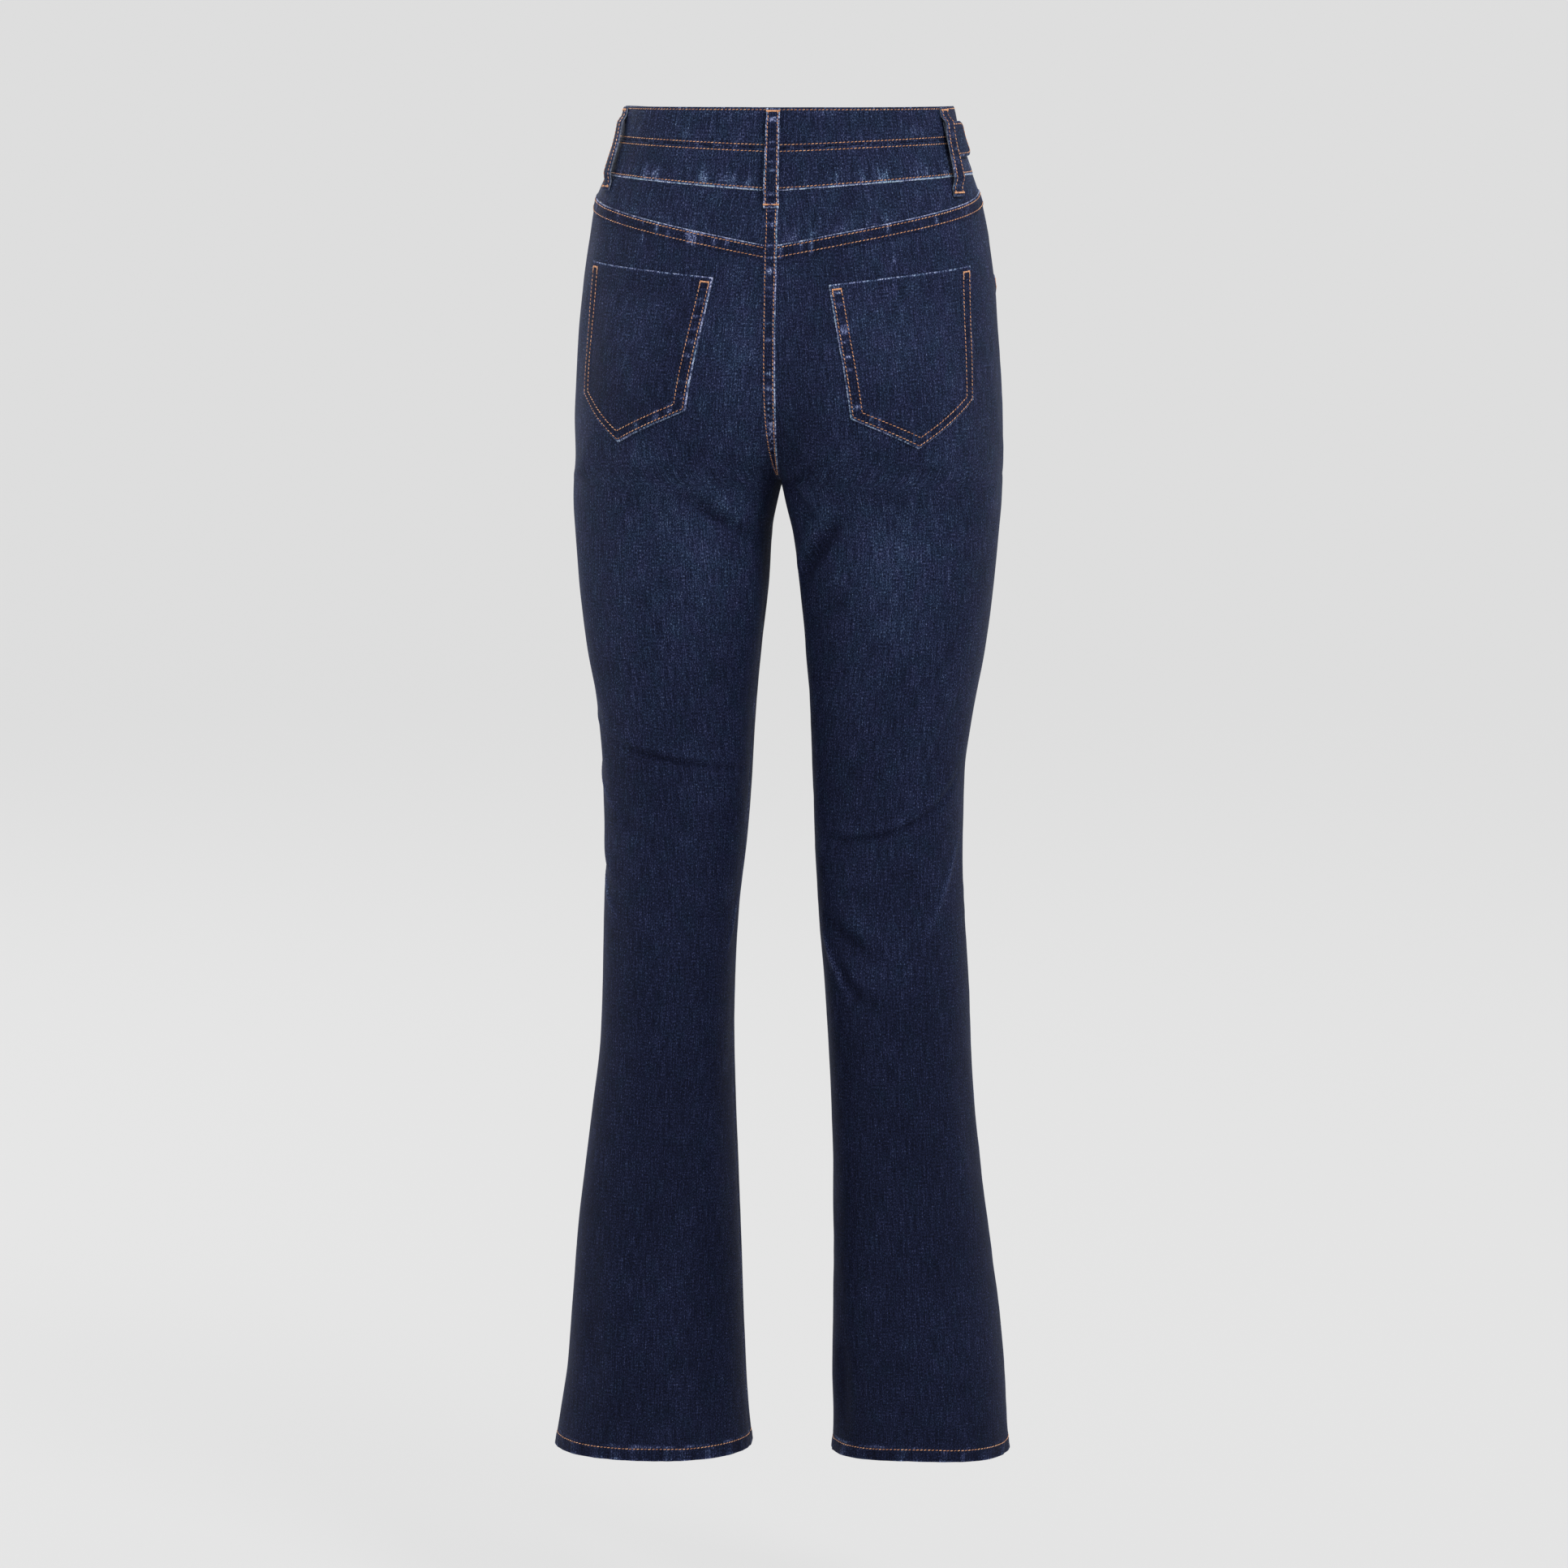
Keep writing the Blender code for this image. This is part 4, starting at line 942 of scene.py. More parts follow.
def build_seat_strip(halves, name, top_z, front, material):
    """The felled strip over a centre seam, on both panels."""
    bottom_z = CROTCH_Z + 0.001
    z = np.linspace(top_z, bottom_z, int((top_z - bottom_z) / 0.0016))[:, None]
    w, z = np.broadcast_arrays(STRIP_PLACES[None, :], z)
    under = centre_out(halves, w, z, front)
    own, wear_and_highlight = strip_out(w, z, front)
    add_cloth(name, across_centre(halves, w, z, front),
              (under + own, under + np.minimum(0.0001, own) - 0.0001),
              np.stack([w + FLAT_SHIFTS["strip"], z], -1), wear_and_highlight, -0.8 * ridge(w, 0.0, 0.0042),
              material, False)


def build_fly_edge(halves, material):
    """The left front's folded edge, which laps over the right front down to the fly's end."""
    z = np.linspace(BAND_LOW["front"] - SEAM_GAP, FLY_BOTTOM_Z - 0.002, 62)[:, None]
    w, z = np.broadcast_arrays(FLY_EDGE_PLACES[None, :], z)
    under = centre_out(halves, w, z, True)
    own = 0.0010 * step_up(w, -0.0036, 0.0010) * (1 - 0.95 * step_up(w, 0.0040, 0.0034))
    fine = noise(9, z / 0.0019, w / 0.0019)
    wear_and_highlight = 0.8 * ridge(w, -0.0036, 0.0009) * unit(0.6 + 0.45 * fine)
    add_cloth("fly_edge", across_centre(halves, w, z, True),
              (under + own, under - 0.0001 + np.minimum(own, 0.0001)),
              np.stack([w + FLAT_SHIFTS["fly_edge"], z], -1), wear_and_highlight, 0.1 + 0 * wear_and_highlight, material,
              False)


def build_fly_shield(halves, material):
    down = np.linspace(0, 1, 30)[:, None]
    top = along_waist(BAND_LOW, 0.0) - 0.001
    z = top + (FLY_BOTTOM_Z - top) * down
    around = halves["left"].length(-0.11)
    reach = np.linspace(-0.010, FLY_SHIELD_WIDTH, 25)[None, :] / around
    reach = reach * np.where(reach > 0, 1 - 0.5 * down ** 6, 1.0)
    z = z + 0 * reach
    depth = -CLOTH - PATCH_GAP
    quiet = np.zeros(reach.shape)
    add_cloth("fly_shield", on_halves(halves, reach > 0, reach, np.abs(reach), z),
              (depth, depth - CLOTH), np.stack([reach * around + FLAT_SHIFTS["shield"], z], -1),
              quiet, quiet, material)


# Back pockets, in flat places: x across from the middle, down from the top edge

def pocket_sizes(half):
    return dict(zip(POCKET_COLUMNS, POCKETS[half.side]))


def pocket_place(half, x, down):
    """Where a flat place of the pocket lies on the back panel."""
    pocket = pocket_sizes(half)
    wide, slope, lean = x + pocket["width"] / 2, pocket["slope"], pocket["lean"]
    z = pocket["top_z"] - down * np.cos(lean) - wide * np.sin(slope)
    from_centre = pocket["from_centre"] + wide * np.cos(slope) - down * np.sin(lean)
    return 1 - from_centre / half.length(z), z


def pocket_edges(half):
    """The pocket's corners, from the top inner one round its point to the top outer one."""
    pocket = pocket_sizes(half)
    wide, side = pocket["width"] / 2, pocket["side_height"]
    low = wide * POCKET_TAPER
    tip = 2 * low * (pocket["tip_at"] - 0.5)
    return np.array([(-wide, 0.0), (-low, side), (tip, pocket["tip_height"]), (low, side),
                     (wide, 0.0)])


def edge_distance(point, start, end):
    """How far inside an edge a flat place is."""
    run = (end - start) / np.linalg.norm(end - start)
    return (point[..., 0] - start[0]) * run[1] - (point[..., 1] - start[1]) * run[0]


def pocket_relief(half, x, down):
    """The pocket's own height above the panel, its wear and its fade."""
    seed = half.seed
    corners = pocket_edges(half)
    point = np.stack([x, down], -1)
    inner, low_inner, low_outer, outer = (
        edge_distance(point, corners[k], corners[k + 1]) for k in range(4))
    upright = np.minimum(inner, outer) < np.minimum(low_inner, low_outer)
    edge = np.minimum(np.minimum(inner, outer), np.minimum(low_inner, low_outer))
    fine = noise(seed + 6, x / 0.0019, down / 0.0019)
    wave = noise(seed + 7, (x + down) / 0.0075, (down - x) / 0.0095)
    doubled = 1 - step_up(edge, 0.0105, 0.0016)
    hem = 1 - step_up(down, 0.0150, 0.0020)
    wide = pocket_sizes(half)["width"]
    belly = unit(np.cos(np.pi * x / wide))
    height = 0.0013 + 0.0005 * doubled + 0.0004 * hem * (1 - doubled)
    height += 0.0010 * belly * ridge(down, 0.0, 0.016)
    height += 0.0006 * belly * unit(np.sin(np.pi * down / 0.12))
    height += 0.0004 * noise(seed + 8, x / 0.030, down / 0.034)
    height += 0.00030 * wave * ridge(edge, 0.0060, 0.0036)
    height *= 0.35 + 0.65 * step_up(edge, 0.0004, 0.0012)
    height -= 0.00020 * (ridge(edge, 0.0023, 0.0007) + ridge(edge, 0.0092, 0.0008))
    between = step_up(edge, 0.0030, 0.0016) * (1 - step_up(edge, 0.0092, 0.0020))
    inward = np.clip(0.60 - x / wide, 0.25, 1)
    marks = ticks(seed + 9, np.where(upright, down, x), edge)
    wear_and_highlight = 0.75 * inward * between * marks * unit(0.80 + 0.40 * fine)
    wear_and_highlight += ridge(edge, 0.0004, 0.0007) * unit(0.35 + 0.50 * inward + 0.45 * fine)
    wear_and_highlight += 0.85 * ridge(down, 0.0004, 0.0008) * unit(0.70 + 0.45 * fine)
    nearest = np.min([np.linalg.norm(point - corner, axis=-1) for corner in corners], axis=0)
    wear_and_highlight += 0.25 * ridge(nearest, 0.0, 0.0025)
    fade_and_shade = (-0.45 if half.side == "left" else -0.05) - 0.7 * between
    fade_and_shade = fade_and_shade + 0.35 * ridge(x, 0.0, 0.030) * ridge(down, 0.050, 0.030)
    return height, unit(wear_and_highlight), fade_and_shade


def build_back_pocket(half, material):
    pocket = pocket_sizes(half)
    ends = (0.0, 0.0004, 0.0009, 0.0016, 0.0024, 0.0036, 0.005, 0.0065, 0.008, 0.0095, 0.011)
    across = spaced(pocket["width"], ends, 0.0022)[None, :]
    down = spaced(0.119, ends, 0.0022)[:, None]
    tip_at, side = pocket["tip_at"], pocket["side_height"]
    tip = np.minimum(across / tip_at, (1 - across) / (1 - tip_at))
    fall = (side + (pocket["tip_height"] - side) * tip) * down
    x = pocket["width"] * (across - 0.5) * (1 - (1 - POCKET_TAPER) * unit(fall / side))
    u, z = pocket_place(half, x, fall)
    under = cloth_relief(half, u, z)[0]
    own, wear_and_highlight, fade_and_shade = pocket_relief(half, x, fall)
    add_cloth("back_pocket_" + half.side, half.at(u, z),
              (under + own, under + 0.0001),
              np.stack([x + FLAT_SHIFTS["pocket"] + half.seed, -fall], -1), wear_and_highlight, fade_and_shade, material)


# Belt loops, tab and buttons

def loop_length(name):
    return -LOOP_DROP - LOOPS[name][3]


def loop_place(halves, name, across, fall):
    """A belt loop's face as a function of the distance out: across runs from the middle, fall
    down from the top end."""
    side, u_top, u_bottom, _, lift, _ = LOOPS[name]
    length = loop_length(name)
    u_middle = u_top + (u_bottom - u_top) * fall / length
    z = along_waist(BAND_TOP, u_middle) - LOOP_DROP - fall
    u = u_middle + across / halves[side].length(WAIST_Z)
    on_left = (u > 1) == (side == "right")
    face = on_halves(halves, on_left, u - 1, np.where(u > 1, 2 - u, u), z)
    base = BAND_PROUD + PATCH_GAP + lift * ease(np.minimum(fall, length - fall) / LOOP_END - 0.7)
    return lambda out: face(base + out)


def loop_relief(seed, across, fall, length):
    edge = LOOP_WIDTH / 2 - np.abs(across)
    wave = noise(seed, fall / 0.0058 + across / 0.03, across / 0.012)
    fine = noise(seed + 1, fall / 0.0018, across / 0.0018)
    height = -0.0007 * (1 - step_up(edge, 0.0005, 0.0016))
    height += 0.00030 * wave * ridge(across, 0.0, 0.0035)
    height -= 0.00022 * ridge(edge, 0.0020, 0.0007)
    height -= 0.0008 * (1 - step_up(np.minimum(fall, length - fall), 0.0003, 0.0014))
    wear_and_highlight = 1.10 * ridge(edge, 0.0004, 0.0008) * unit(0.65 + 0.45 * fine)
    wear_and_highlight += 0.70 * ridge(across, 0.0, 0.0030) * ticks(seed + 2, fall, across)
    wear_and_highlight += 0.75 * ridge(length - fall, 0.0003, 0.0010) + 0.5 * ridge(fall, 0.0003, 0.0010)
    return height, unit(wear_and_highlight)


def build_loop(halves, name, seed, material):
    across = (spaced(LOOP_WIDTH, (0.0, 0.0004, 0.0010, 0.0018, 0.0026), 0.0012) - 0.5)[None, :]
    across = across * LOOP_WIDTH
    across = np.where(np.abs(across) < 1e-6, 0.0, across)
    length = loop_length(name)
    fall = spaced(length, (0.0, 0.0004, 0.0010, 0.0020), 0.0014)[:, None] * length
    across, fall = np.broadcast_arrays(across, fall)
    place = loop_place(halves, name, across, fall)
    height, wear_and_highlight = loop_relief(seed, across, fall, length)
    add_cloth(name, place, (LOOP_CLOTH + height, 0.0001 + 0 * fall),
              np.stack([across + FLAT_SHIFTS["loop"] + seed, -fall], -1),
              wear_and_highlight * LOOPS[name][5], -0.6 * ridge(across, 0.0, 0.0034), material)


def tab_place(along, across):
    """Where a flat place of the side tab lies: shares of its length and, from its middle, of
    its height. Its free end is narrower."""
    narrow = 1 - 0.30 * unit((along - 0.72) / 0.28) ** 2.2
    u = TAB_U[0] + (TAB_U[1] - TAB_U[0]) * along
    return u, (TAB_Z[0] + TAB_Z[1]) / 2 + (TAB_Z[0] - TAB_Z[1]) * across * narrow


def tab_out(u):
    """How far the side tab stands out: its free end is off the band."""
    return BAND_PROUD + PATCH_GAP + TAB_LIFT * ease((u - TAB_U[0]) / (TAB_U[1] - TAB_U[0]))


def build_tab(half, material):
    """The plain doubled side tab with its rounded end."""
    ends = (0.0, 0.0004, 0.001, 0.0018, 0.003)
    along, across = np.broadcast_arrays(spaced(TAB_LENGTH, ends, 0.0015)[None, :],
                                        spaced(0.028, ends, 0.0015)[:, None])
    u, z = tab_place(along, 0.5 - across)
    edge = np.minimum(np.minimum(across, 1 - across) * (TAB_Z[0] - TAB_Z[1]),
                      (1 - along) * TAB_LENGTH)
    fine = noise(3, along / 0.045, z / 0.0019)
    lift = TAB_CLOTH - 0.0008 * (1 - step_up(edge, 0.0005, 0.0016))
    lift -= 0.0002 * ridge(edge, 0.0022, 0.0008)
    wear_and_highlight = 0.6 * ridge(edge, 0.0004, 0.0010) * unit(0.55 + 0.5 * fine)
    add_cloth("side_tab", half.at(u, z), (tab_out(u) + lift, tab_out(u)),
              np.stack([u * half.length(WAIST_Z) + FLAT_SHIFTS["tab"], z], -1), wear_and_highlight,
              0.1 + 0 * wear_and_highlight, material)


def build_button(half, name, z, material):
    """A turned shank button: a rolled rim, a dished face and a low dome with a ring round it."""
    u, z = np.array([BUTTON_X / half.length(z)]), np.array([z])
    seat = half.surface(u, z, BAND_PROUD + PATCH_GAP)[0]
    axis = half.surface(u, z, BUTTON_RADIUS)[0] - seat
    axis = axis / np.linalg.norm(axis)
    side = np.cross(axis, (0.0, 0.0, 1.0))
    side /= np.linalg.norm(side)
    angle = 2 * np.pi * np.arange(BUTTON_SIDES) / BUTTON_SIDES
    spoke = np.cos(angle)[:, None] * side + np.sin(angle)[:, None] * np.cross(side, axis)
    reach, height = np.array(BUTTON_PROFILE).T
    rings = (seat + axis * height[1:-1, None, None] * BUTTON_HEIGHT
             + spoke[None] * reach[1:-1, None, None] * BUTTON_RADIUS)
    points = np.concatenate([rings.reshape(-1, 3),
                             [seat, seat + axis * height[-1] * BUTTON_HEIGHT]])
    quads, caps = turned_faces(len(rings), BUTTON_SIDES)
    made = add_mesh(name, points, quads, material, caps, sharp=1.2)
    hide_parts(name)


# Sewing

def line_on(place, out):
    """Points and outward directions of a line, given as a function of the distance out."""
    low, high = place(out), place(out + 0.0004)
    return low, (high - low) / 0.0004


class Thread:
    """Collects stitches and bar tacks, then makes one piece of them."""

    def __init__(self, name, seed):
        self.name = name
        self.random = np.random.RandomState(seed)
        self.parts = []

    def row(self, place, out, pitch=STITCH_PITCH, length=STITCH_LENGTH, slant=STITCH_SLANT,
            radius=STITCH_RADIUS):
        """Stitches at an even pitch along a line that lies on the cloth."""
        points, normals = line_on(place, out)
        steps = np.linalg.norm(np.diff(points, axis=0), axis=1)
        run = np.concatenate([[0.0], np.cumsum(steps)])
        count = max(int(run[-1] / pitch), 1)
        at = (np.arange(count) + 0.5) * run[-1] / count
        wander = self.random.uniform(-0.06, 0.06, count) * pitch
        centre, before, after, normal = (
            np.stack([np.interp(where, run, array[:, k]) for k in range(3)], -1)
            for where, array in ((at + wander, points), (at - pitch / 3, points),
                                 (at + pitch / 3, points), (at, normals)))
        along = after - before
        along /= np.linalg.norm(along, axis=1, keepdims=True) + 1e-12
        normal /= np.linalg.norm(normal, axis=1, keepdims=True) + 1e-12
        turn = slant + self.random.uniform(-0.05, 0.05, count)[:, None]
        along = along * np.cos(turn) + np.cross(normal, along) * np.sin(turn)
        long = length * self.random.uniform(0.93, 1.05, count)
        self.parts.append((centre, along, normal, long, np.full(count, radius)))

    def on_cloth(self, half, u, z):
        """A row on a half's own cloth."""
        self.row(half.at(u, z), cloth_relief(half, u, z)[0] + STITCH_UP)

    def on_band(self, halves, tier, run, z):
        self.row(waist_run(halves, run, z), band_out(halves, tier, run, z)[0] + STITCH_UP)

    def on_strip(self, halves, top_z, count, front):
        """Two rows on a centre seam's strip."""
        for across in (-SEAT_ROW, SEAT_ROW):
            z = np.linspace(top_z, CROTCH_Z + 0.006, count)
            w = np.full(count, across)
            out = centre_out(halves, w, z, front) + strip_out(w, z, front)[0]
            self.row(across_centre(halves, w, z, front), out + STITCH_UP)

    def bar(self, start, end, normal, wide=0.0017):
        """A bar tack: threads laid close together across a short line."""
        along = end - start
        length = np.linalg.norm(along)
        along = along / length
        normal = normal / np.linalg.norm(normal)
        count = int(length / 0.00042)
        centre = start + along * np.linspace(0, length, count)[:, None] + normal * 0.00010
        turn = self.random.uniform(-0.12, 0.12, count)[:, None]
        lay = np.cross(normal, along) * np.cos(turn) + along * np.sin(turn)
        self.parts.append((centre, lay, np.repeat(normal[None], count, axis=0),
                           np.full(count, wide), np.full(count, STITCH_RADIUS)))

    def build(self, material):
        centre, along, normal, long, radius = (
            np.concatenate([part[k] for part in self.parts]) for k in range(5))
        places, widths, drops = (np.array(row) for row in STITCH_RINGS)
        sides, count = STITCH_SIDES, len(centre)
        angle = 2 * np.pi * (np.arange(sides) + 0.5) / sides
        around = (np.cross(normal, along)[:, None, None] * np.cos(angle)[None, None, :, None]
                  + normal[:, None, None] * np.sin(angle)[None, None, :, None])
        each = (slice(None), None, None, None)
        ring = (None, slice(None), None, None)
        rings = (centre[:, None, None] + along[:, None, None] * (places[ring] * long[each])
                 + normal[:, None, None] * (drops[ring] * radius[each])
                 + around * widths[ring] * radius[each])
        ends = [centre + along * (share * long)[:, None] - normal * (1.6 * radius)[:, None]
                for share in (-0.5, 0.5)]
        points = np.concatenate([rings.reshape(count, -1, 3), ends[0][:, None], ends[1][:, None]],
                                axis=1)
        size = points.shape[1]
        quads, caps = turned_faces(len(places), sides)
        shift = (np.arange(count) * size)[:, None, None]
        tone = np.repeat(self.random.uniform(0, 1, count), size)
        made = add_mesh(self.name, points.reshape(-1, 3), (quads[None] + shift).reshape(-1, 4),
                        material, (caps[None] + shift).reshape(-1, 3), values={"tone": tone},
                        sharp=3.0)


def sew_waist(halves, thread):
    run = np.linspace(-1 + 0.004, 1 - 0.004, 1400)
    u = np.abs(1 - np.abs(run))
    for tier, (top, low, drop, row_top, row_low, _) in TIERS.items():
        thread.on_band(halves, tier, run, along_waist(top, u) - row_top - drop)
        thread.on_band(halves, tier, run, along_waist(low, u) + row_low)
    # The fly end of each tier
    edge = np.full(60, 1 - 0.0022 / halves["left"].length(WAIST_Z))
    for tier, (top, low, *_) in TIERS.items():
        z = np.linspace(top["front"] - 0.0030, low["front"] + 0.0030, 60)
        thread.on_band(halves, tier, edge, z)


def sew_buttonholes(halves, thread):
    """A stitched slot round each shank, from just past the button towards the edge."""
    run = 1 - np.linspace(0.0045, 0.0245, 40) / halves["left"].length(WAIST_Z)
    for tier, (top, low, *_) in TIERS.items():
        for rise in (-0.0013, 0.0013):
            z = np.full(40, (top["front"] + low["front"]) / 2 + rise)
            points, normals = line_on(waist_run(halves, run, z),
                                      band_out(halves, tier, run, z)[0] + STITCH_UP)
            thread.bar(points[0], points[20], normals[10], 0.0021)
            thread.bar(points[20], points[-1], normals[30], 0.0021)


def sew_loops(halves, thread):
    for seed, name in enumerate(LOOPS):
        length = loop_length(name)
        fall = np.linspace(0.002, length - 0.002, 160)
        for across in (-0.0040, 0.0040):
            wide = np.full(160, across)
            height = loop_relief(seed, wide, fall, length)[0]
            thread.row(loop_place(halves, name, wide, fall), LOOP_CLOTH + height + STITCH_UP)
        for down in (0.0024, length - 0.0026):
            place = loop_place(halves, name, np.array([-0.0054, 0.0, 0.0054]), np.full(3, down))
            points, normals = line_on(place, LOOP_CLOTH - 0.0001)
            thread.bar(points[0], points[1], normals[0])
            thread.bar(points[1], points[2], normals[2])


def sew_tab(halves, thread):
    along = np.linspace(0.0, 0.94, 90)
    lines = [tab_place(along, side) for side in (0.42, -0.42)]
    across = np.linspace(lines[0][1][-1], lines[1][1][-1], 30)
    for u, z in lines + [(np.full(30, lines[0][0][-1]), across)]:
        thread.row(halves["right"].at(u, z), tab_out(u) + TAB_CLOTH)


def sew_seat(halves, thread):
    for half in halves.values():
        u = np.linspace(SIDE_SEAM + 0.006, 1 - 0.012, 700)
        for row in YOKE_ROWS:
            thread.on_cloth(half, u, yoke_line(u) - row / YOKE_COSINE)
    thread.on_strip(halves, BAND_LOW["back"] - 0.001, 700, False)


def offset_lines(corners, inset):
    """The pocket's outline moved inwards by one inset for each edge."""
    edges = []
    for k in range(len(corners) - 1):
        run = corners[k + 1] - corners[k]
        run = run / np.linalg.norm(run)
        edges.append((corners[k] + np.array([run[1], -run[0]]) * inset[k], run))
    points = []
    for (a, along_a), (b, along_b) in zip(edges[:-1], edges[1:]):
        share = np.linalg.solve(np.stack([along_a, -along_b], -1), b - a)[0]
        points.append(a + along_a * share)
    start, end = (at + run * (POCKET_TURN - at[1]) / run[1] for at, run in (edges[0], edges[-1]))
    return np.array([start] + points + [end])


def sew_pockets(halves, thread):
    for half in halves.values():

        def on_pocket(flat):
            u, z = pocket_place(half, flat[:, 0], flat[:, 1])
            out = cloth_relief(half, u, z)[0] + pocket_relief(half, flat[:, 0], flat[:, 1])[0]
            return half.at(u, z), out + STITCH_UP

        lines = [offset_lines(pocket_edges(half), inset) for inset in POCKET_INSETS]
        for line in lines:
            for a, b in zip(line[:-1], line[1:]):
                thread.row(*on_pocket(a + (b - a) * np.linspace(0, 1, 200)[:, None]))
        # A bar and short double turn-backs at each top corner
        for k in (0, -1):
            ends = np.array([lines[0][k], lines[1][k]])
            points, normals = line_on(*on_pocket(ends))
            thread.bar(points[0], points[1], normals[0])
            for end in ends:
                thread.row(*on_pocket(np.array([[0.0, 0.0], [0.0, POCKET_TURN]]) + end),
                           pitch=0.0021, length=0.0021, slant=0.1, radius=0.00042)


def sew_front(halves, thread):
    thread.on_strip(halves, FLY_BOTTOM_Z - 0.003, 400, True)
    left = halves["left"]
    for inset in (0.0020, 0.0080):
        reach = FLY_SHIELD_WIDTH - inset
        tall = FLY_STRAIGHT_Z - FLY_BOTTOM_Z - 0.002 - inset * 0.8
        turn = np.linspace(0, np.pi / 2 - 0.08, 120)
        x = np.concatenate([np.full(160, reach), reach * np.cos(turn)])
        z = np.concatenate([np.linspace(BAND_LOW["front"] - 0.002, FLY_STRAIGHT_Z, 161)[:-1],
                            FLY_STRAIGHT_Z - tall * np.sin(turn)])
        thread.on_cloth(left, x / left.length(z), z)
    tall = mouth_top() - MOUTH_BOTTOM_Z
    turn = np.linspace(0.03, np.pi / 2 - 0.03, 400)
    for half in halves.values():
        wide = MOUTH_WIDTH * half.length(-0.09)
        normal = np.stack([np.cos(turn) / wide, np.sin(turn) / tall])
        normal /= np.linalg.norm(normal, axis=0)
        for row in (0.0023, 0.0088):
            z = mouth_top() - tall * np.sin(turn) - row * normal[1]
            x = MOUTH_WIDTH * half.length(z) * np.cos(turn) + row * normal[0]
            u = SIDE_SEAM - x / half.length(z)
            keep = u < SIDE_SEAM - 0.004
            thread.on_cloth(half, u[keep], z[keep])
    # A bar at the fly's lower end and one at each pocket mouth's lower corner
    z = np.full(2, -0.160)
    bars = [(left, np.array([0.0015, 0.0115]) / left.length(z), z, 0.0012)]
    for half in halves.values():
        z = np.array([MOUTH_BOTTOM_Z - 0.0022, MOUTH_BOTTOM_Z - 0.0105])
        u = SIDE_SEAM - np.array([0.0040, 0.0048]) / half.length(z)
        bars.append((half, u, z, 0.0010))
    for half, u, z, out in bars:
        points, normals = line_on(half.at(u, z), out)
        thread.bar(points[0], points[1], normals[0])


def sew_hems(halves, thread):
    for half in halves.values():
        for low, high in ((0.004, SIDE_SEAM - 0.002), (SIDE_SEAM + 0.002, 0.996)):
            u = np.linspace(low, high, 500)
            sway = 0.0005 * noise(half.seed + 13, u / 0.055, 0.5)
            thread.on_cloth(half, u, HEM_Z + HEM_ROW + sway)


# Materials

class Graph:
    """A material's nodes, added one at a time."""

    def __init__(self, name):
        self.material = bpy.data.materials.new(name)
        self.material.use_nodes = True
        self.tree = self.material.node_tree

    def set(self, node, inputs):
        for key, value in inputs.items():
            if isinstance(value, bpy.types.NodeSocket):
                self.tree.links.new(value, node.inputs[key])
            else:
                node.inputs[key].default_value = value

    def shade(self, inputs):
        self.set(self.tree.nodes["Principled BSDF"], inputs)

    def add(self, kind, inputs=(), **settings):
        node = self.tree.nodes.new(kind)
        for key, value in settings.items():
            setattr(node, key, value)
        self.set(node, dict(inputs))
        return node

    def math(self, operation, a, b=0.0):
        return self.add("ShaderNodeMath", {0: a, 1: b}, operation=operation).outputs[0]

    def total(self, parts, start=0.0):
        """The start and each part times its share, added up."""
        for part, share in parts:
            start = self.math("ADD", start, self.math("MULTIPLY", part, share))
        return start

    def value(self, name):
        return self.add("ShaderNodeAttribute", attribute_name=name).outputs["Fac"]

    def noise(self, place, scale, detail=2.0, rough=0.55):
        stretched = self.add("ShaderNodeVectorMath", {0: place, 1: scale}, operation="MULTIPLY")
        return self.add("ShaderNodeTexNoise", {
            "Vector": stretched.outputs[0], "Scale": 1.0, "Detail": detail,
            "Roughness": rough}).outputs["Fac"]

    def ramp(self, factor, stops):
        node = self.add("ShaderNodeValToRGB", {"Fac": factor})
        ramp = node.color_ramp
        ramp.elements[0].position, ramp.elements[0].color = stops[0][0], (*stops[0][1], 1)
        ramp.elements[1].position, ramp.elements[1].color = stops[-1][0], (*stops[-1][1], 1)
        for place, colour in stops[1:-1]:
            ramp.elements.new(place).color = (*colour, 1)
        return node.outputs["Color"]

    def mix(self, a, b, factor=1.0, kind="MULTIPLY"):
        return self.add("ShaderNodeMix", {"Factor": factor, "A": a, "B": b}, data_type="RGBA",
                        blend_type=kind).outputs["Result"]

    def bump(self, height, strength, distance):
        return self.add("ShaderNodeBump", {"Height": height, "Strength": strength,
                                           "Distance": distance}).outputs["Normal"]


DENIM_STOPS = (
    (0.14, (0.0007, 0.0012, 0.0048)),
    (0.34, (0.0028, 0.0047, 0.0151)),
    (0.44, (0.0057, 0.0090, 0.0250)),
    (0.54, (0.0122, 0.0180, 0.0465)),
    (0.66, (0.0315, 0.0440, 0.0990)),
    (0.82, (0.1300, 0.1680, 0.2780)),
    (1.00, (0.4300, 0.4900, 0.6100)),
)
# Some patches are a little more purple, and some, faded ones most, a little greener
TINT_STOPS = ((0.38, (1.04, 0.96, 1.05)), (0.66, (0.86, 1.03, 1.00)))
WRONG_SIDE_STOPS = ((0.25, (0.045, 0.060, 0.100)), (0.75, (0.260, 0.290, 0.350)))
THREAD_STOPS = ((0.0, (0.32, 0.125, 0.050)), (0.5, (0.58, 0.260, 0.110)),
                (1.0, (0.78, 0.420, 0.220)))
FIBRE_STOPS = ((0.30, (0.55, 0.50, 0.46)), (0.62, (1, 1, 1)))
COPPER_STOPS = ((0.30, (0.20, 0.115, 0.070)), (0.52, (0.46, 0.285, 0.180)),
                (0.75, (0.62, 0.420, 0.290)))


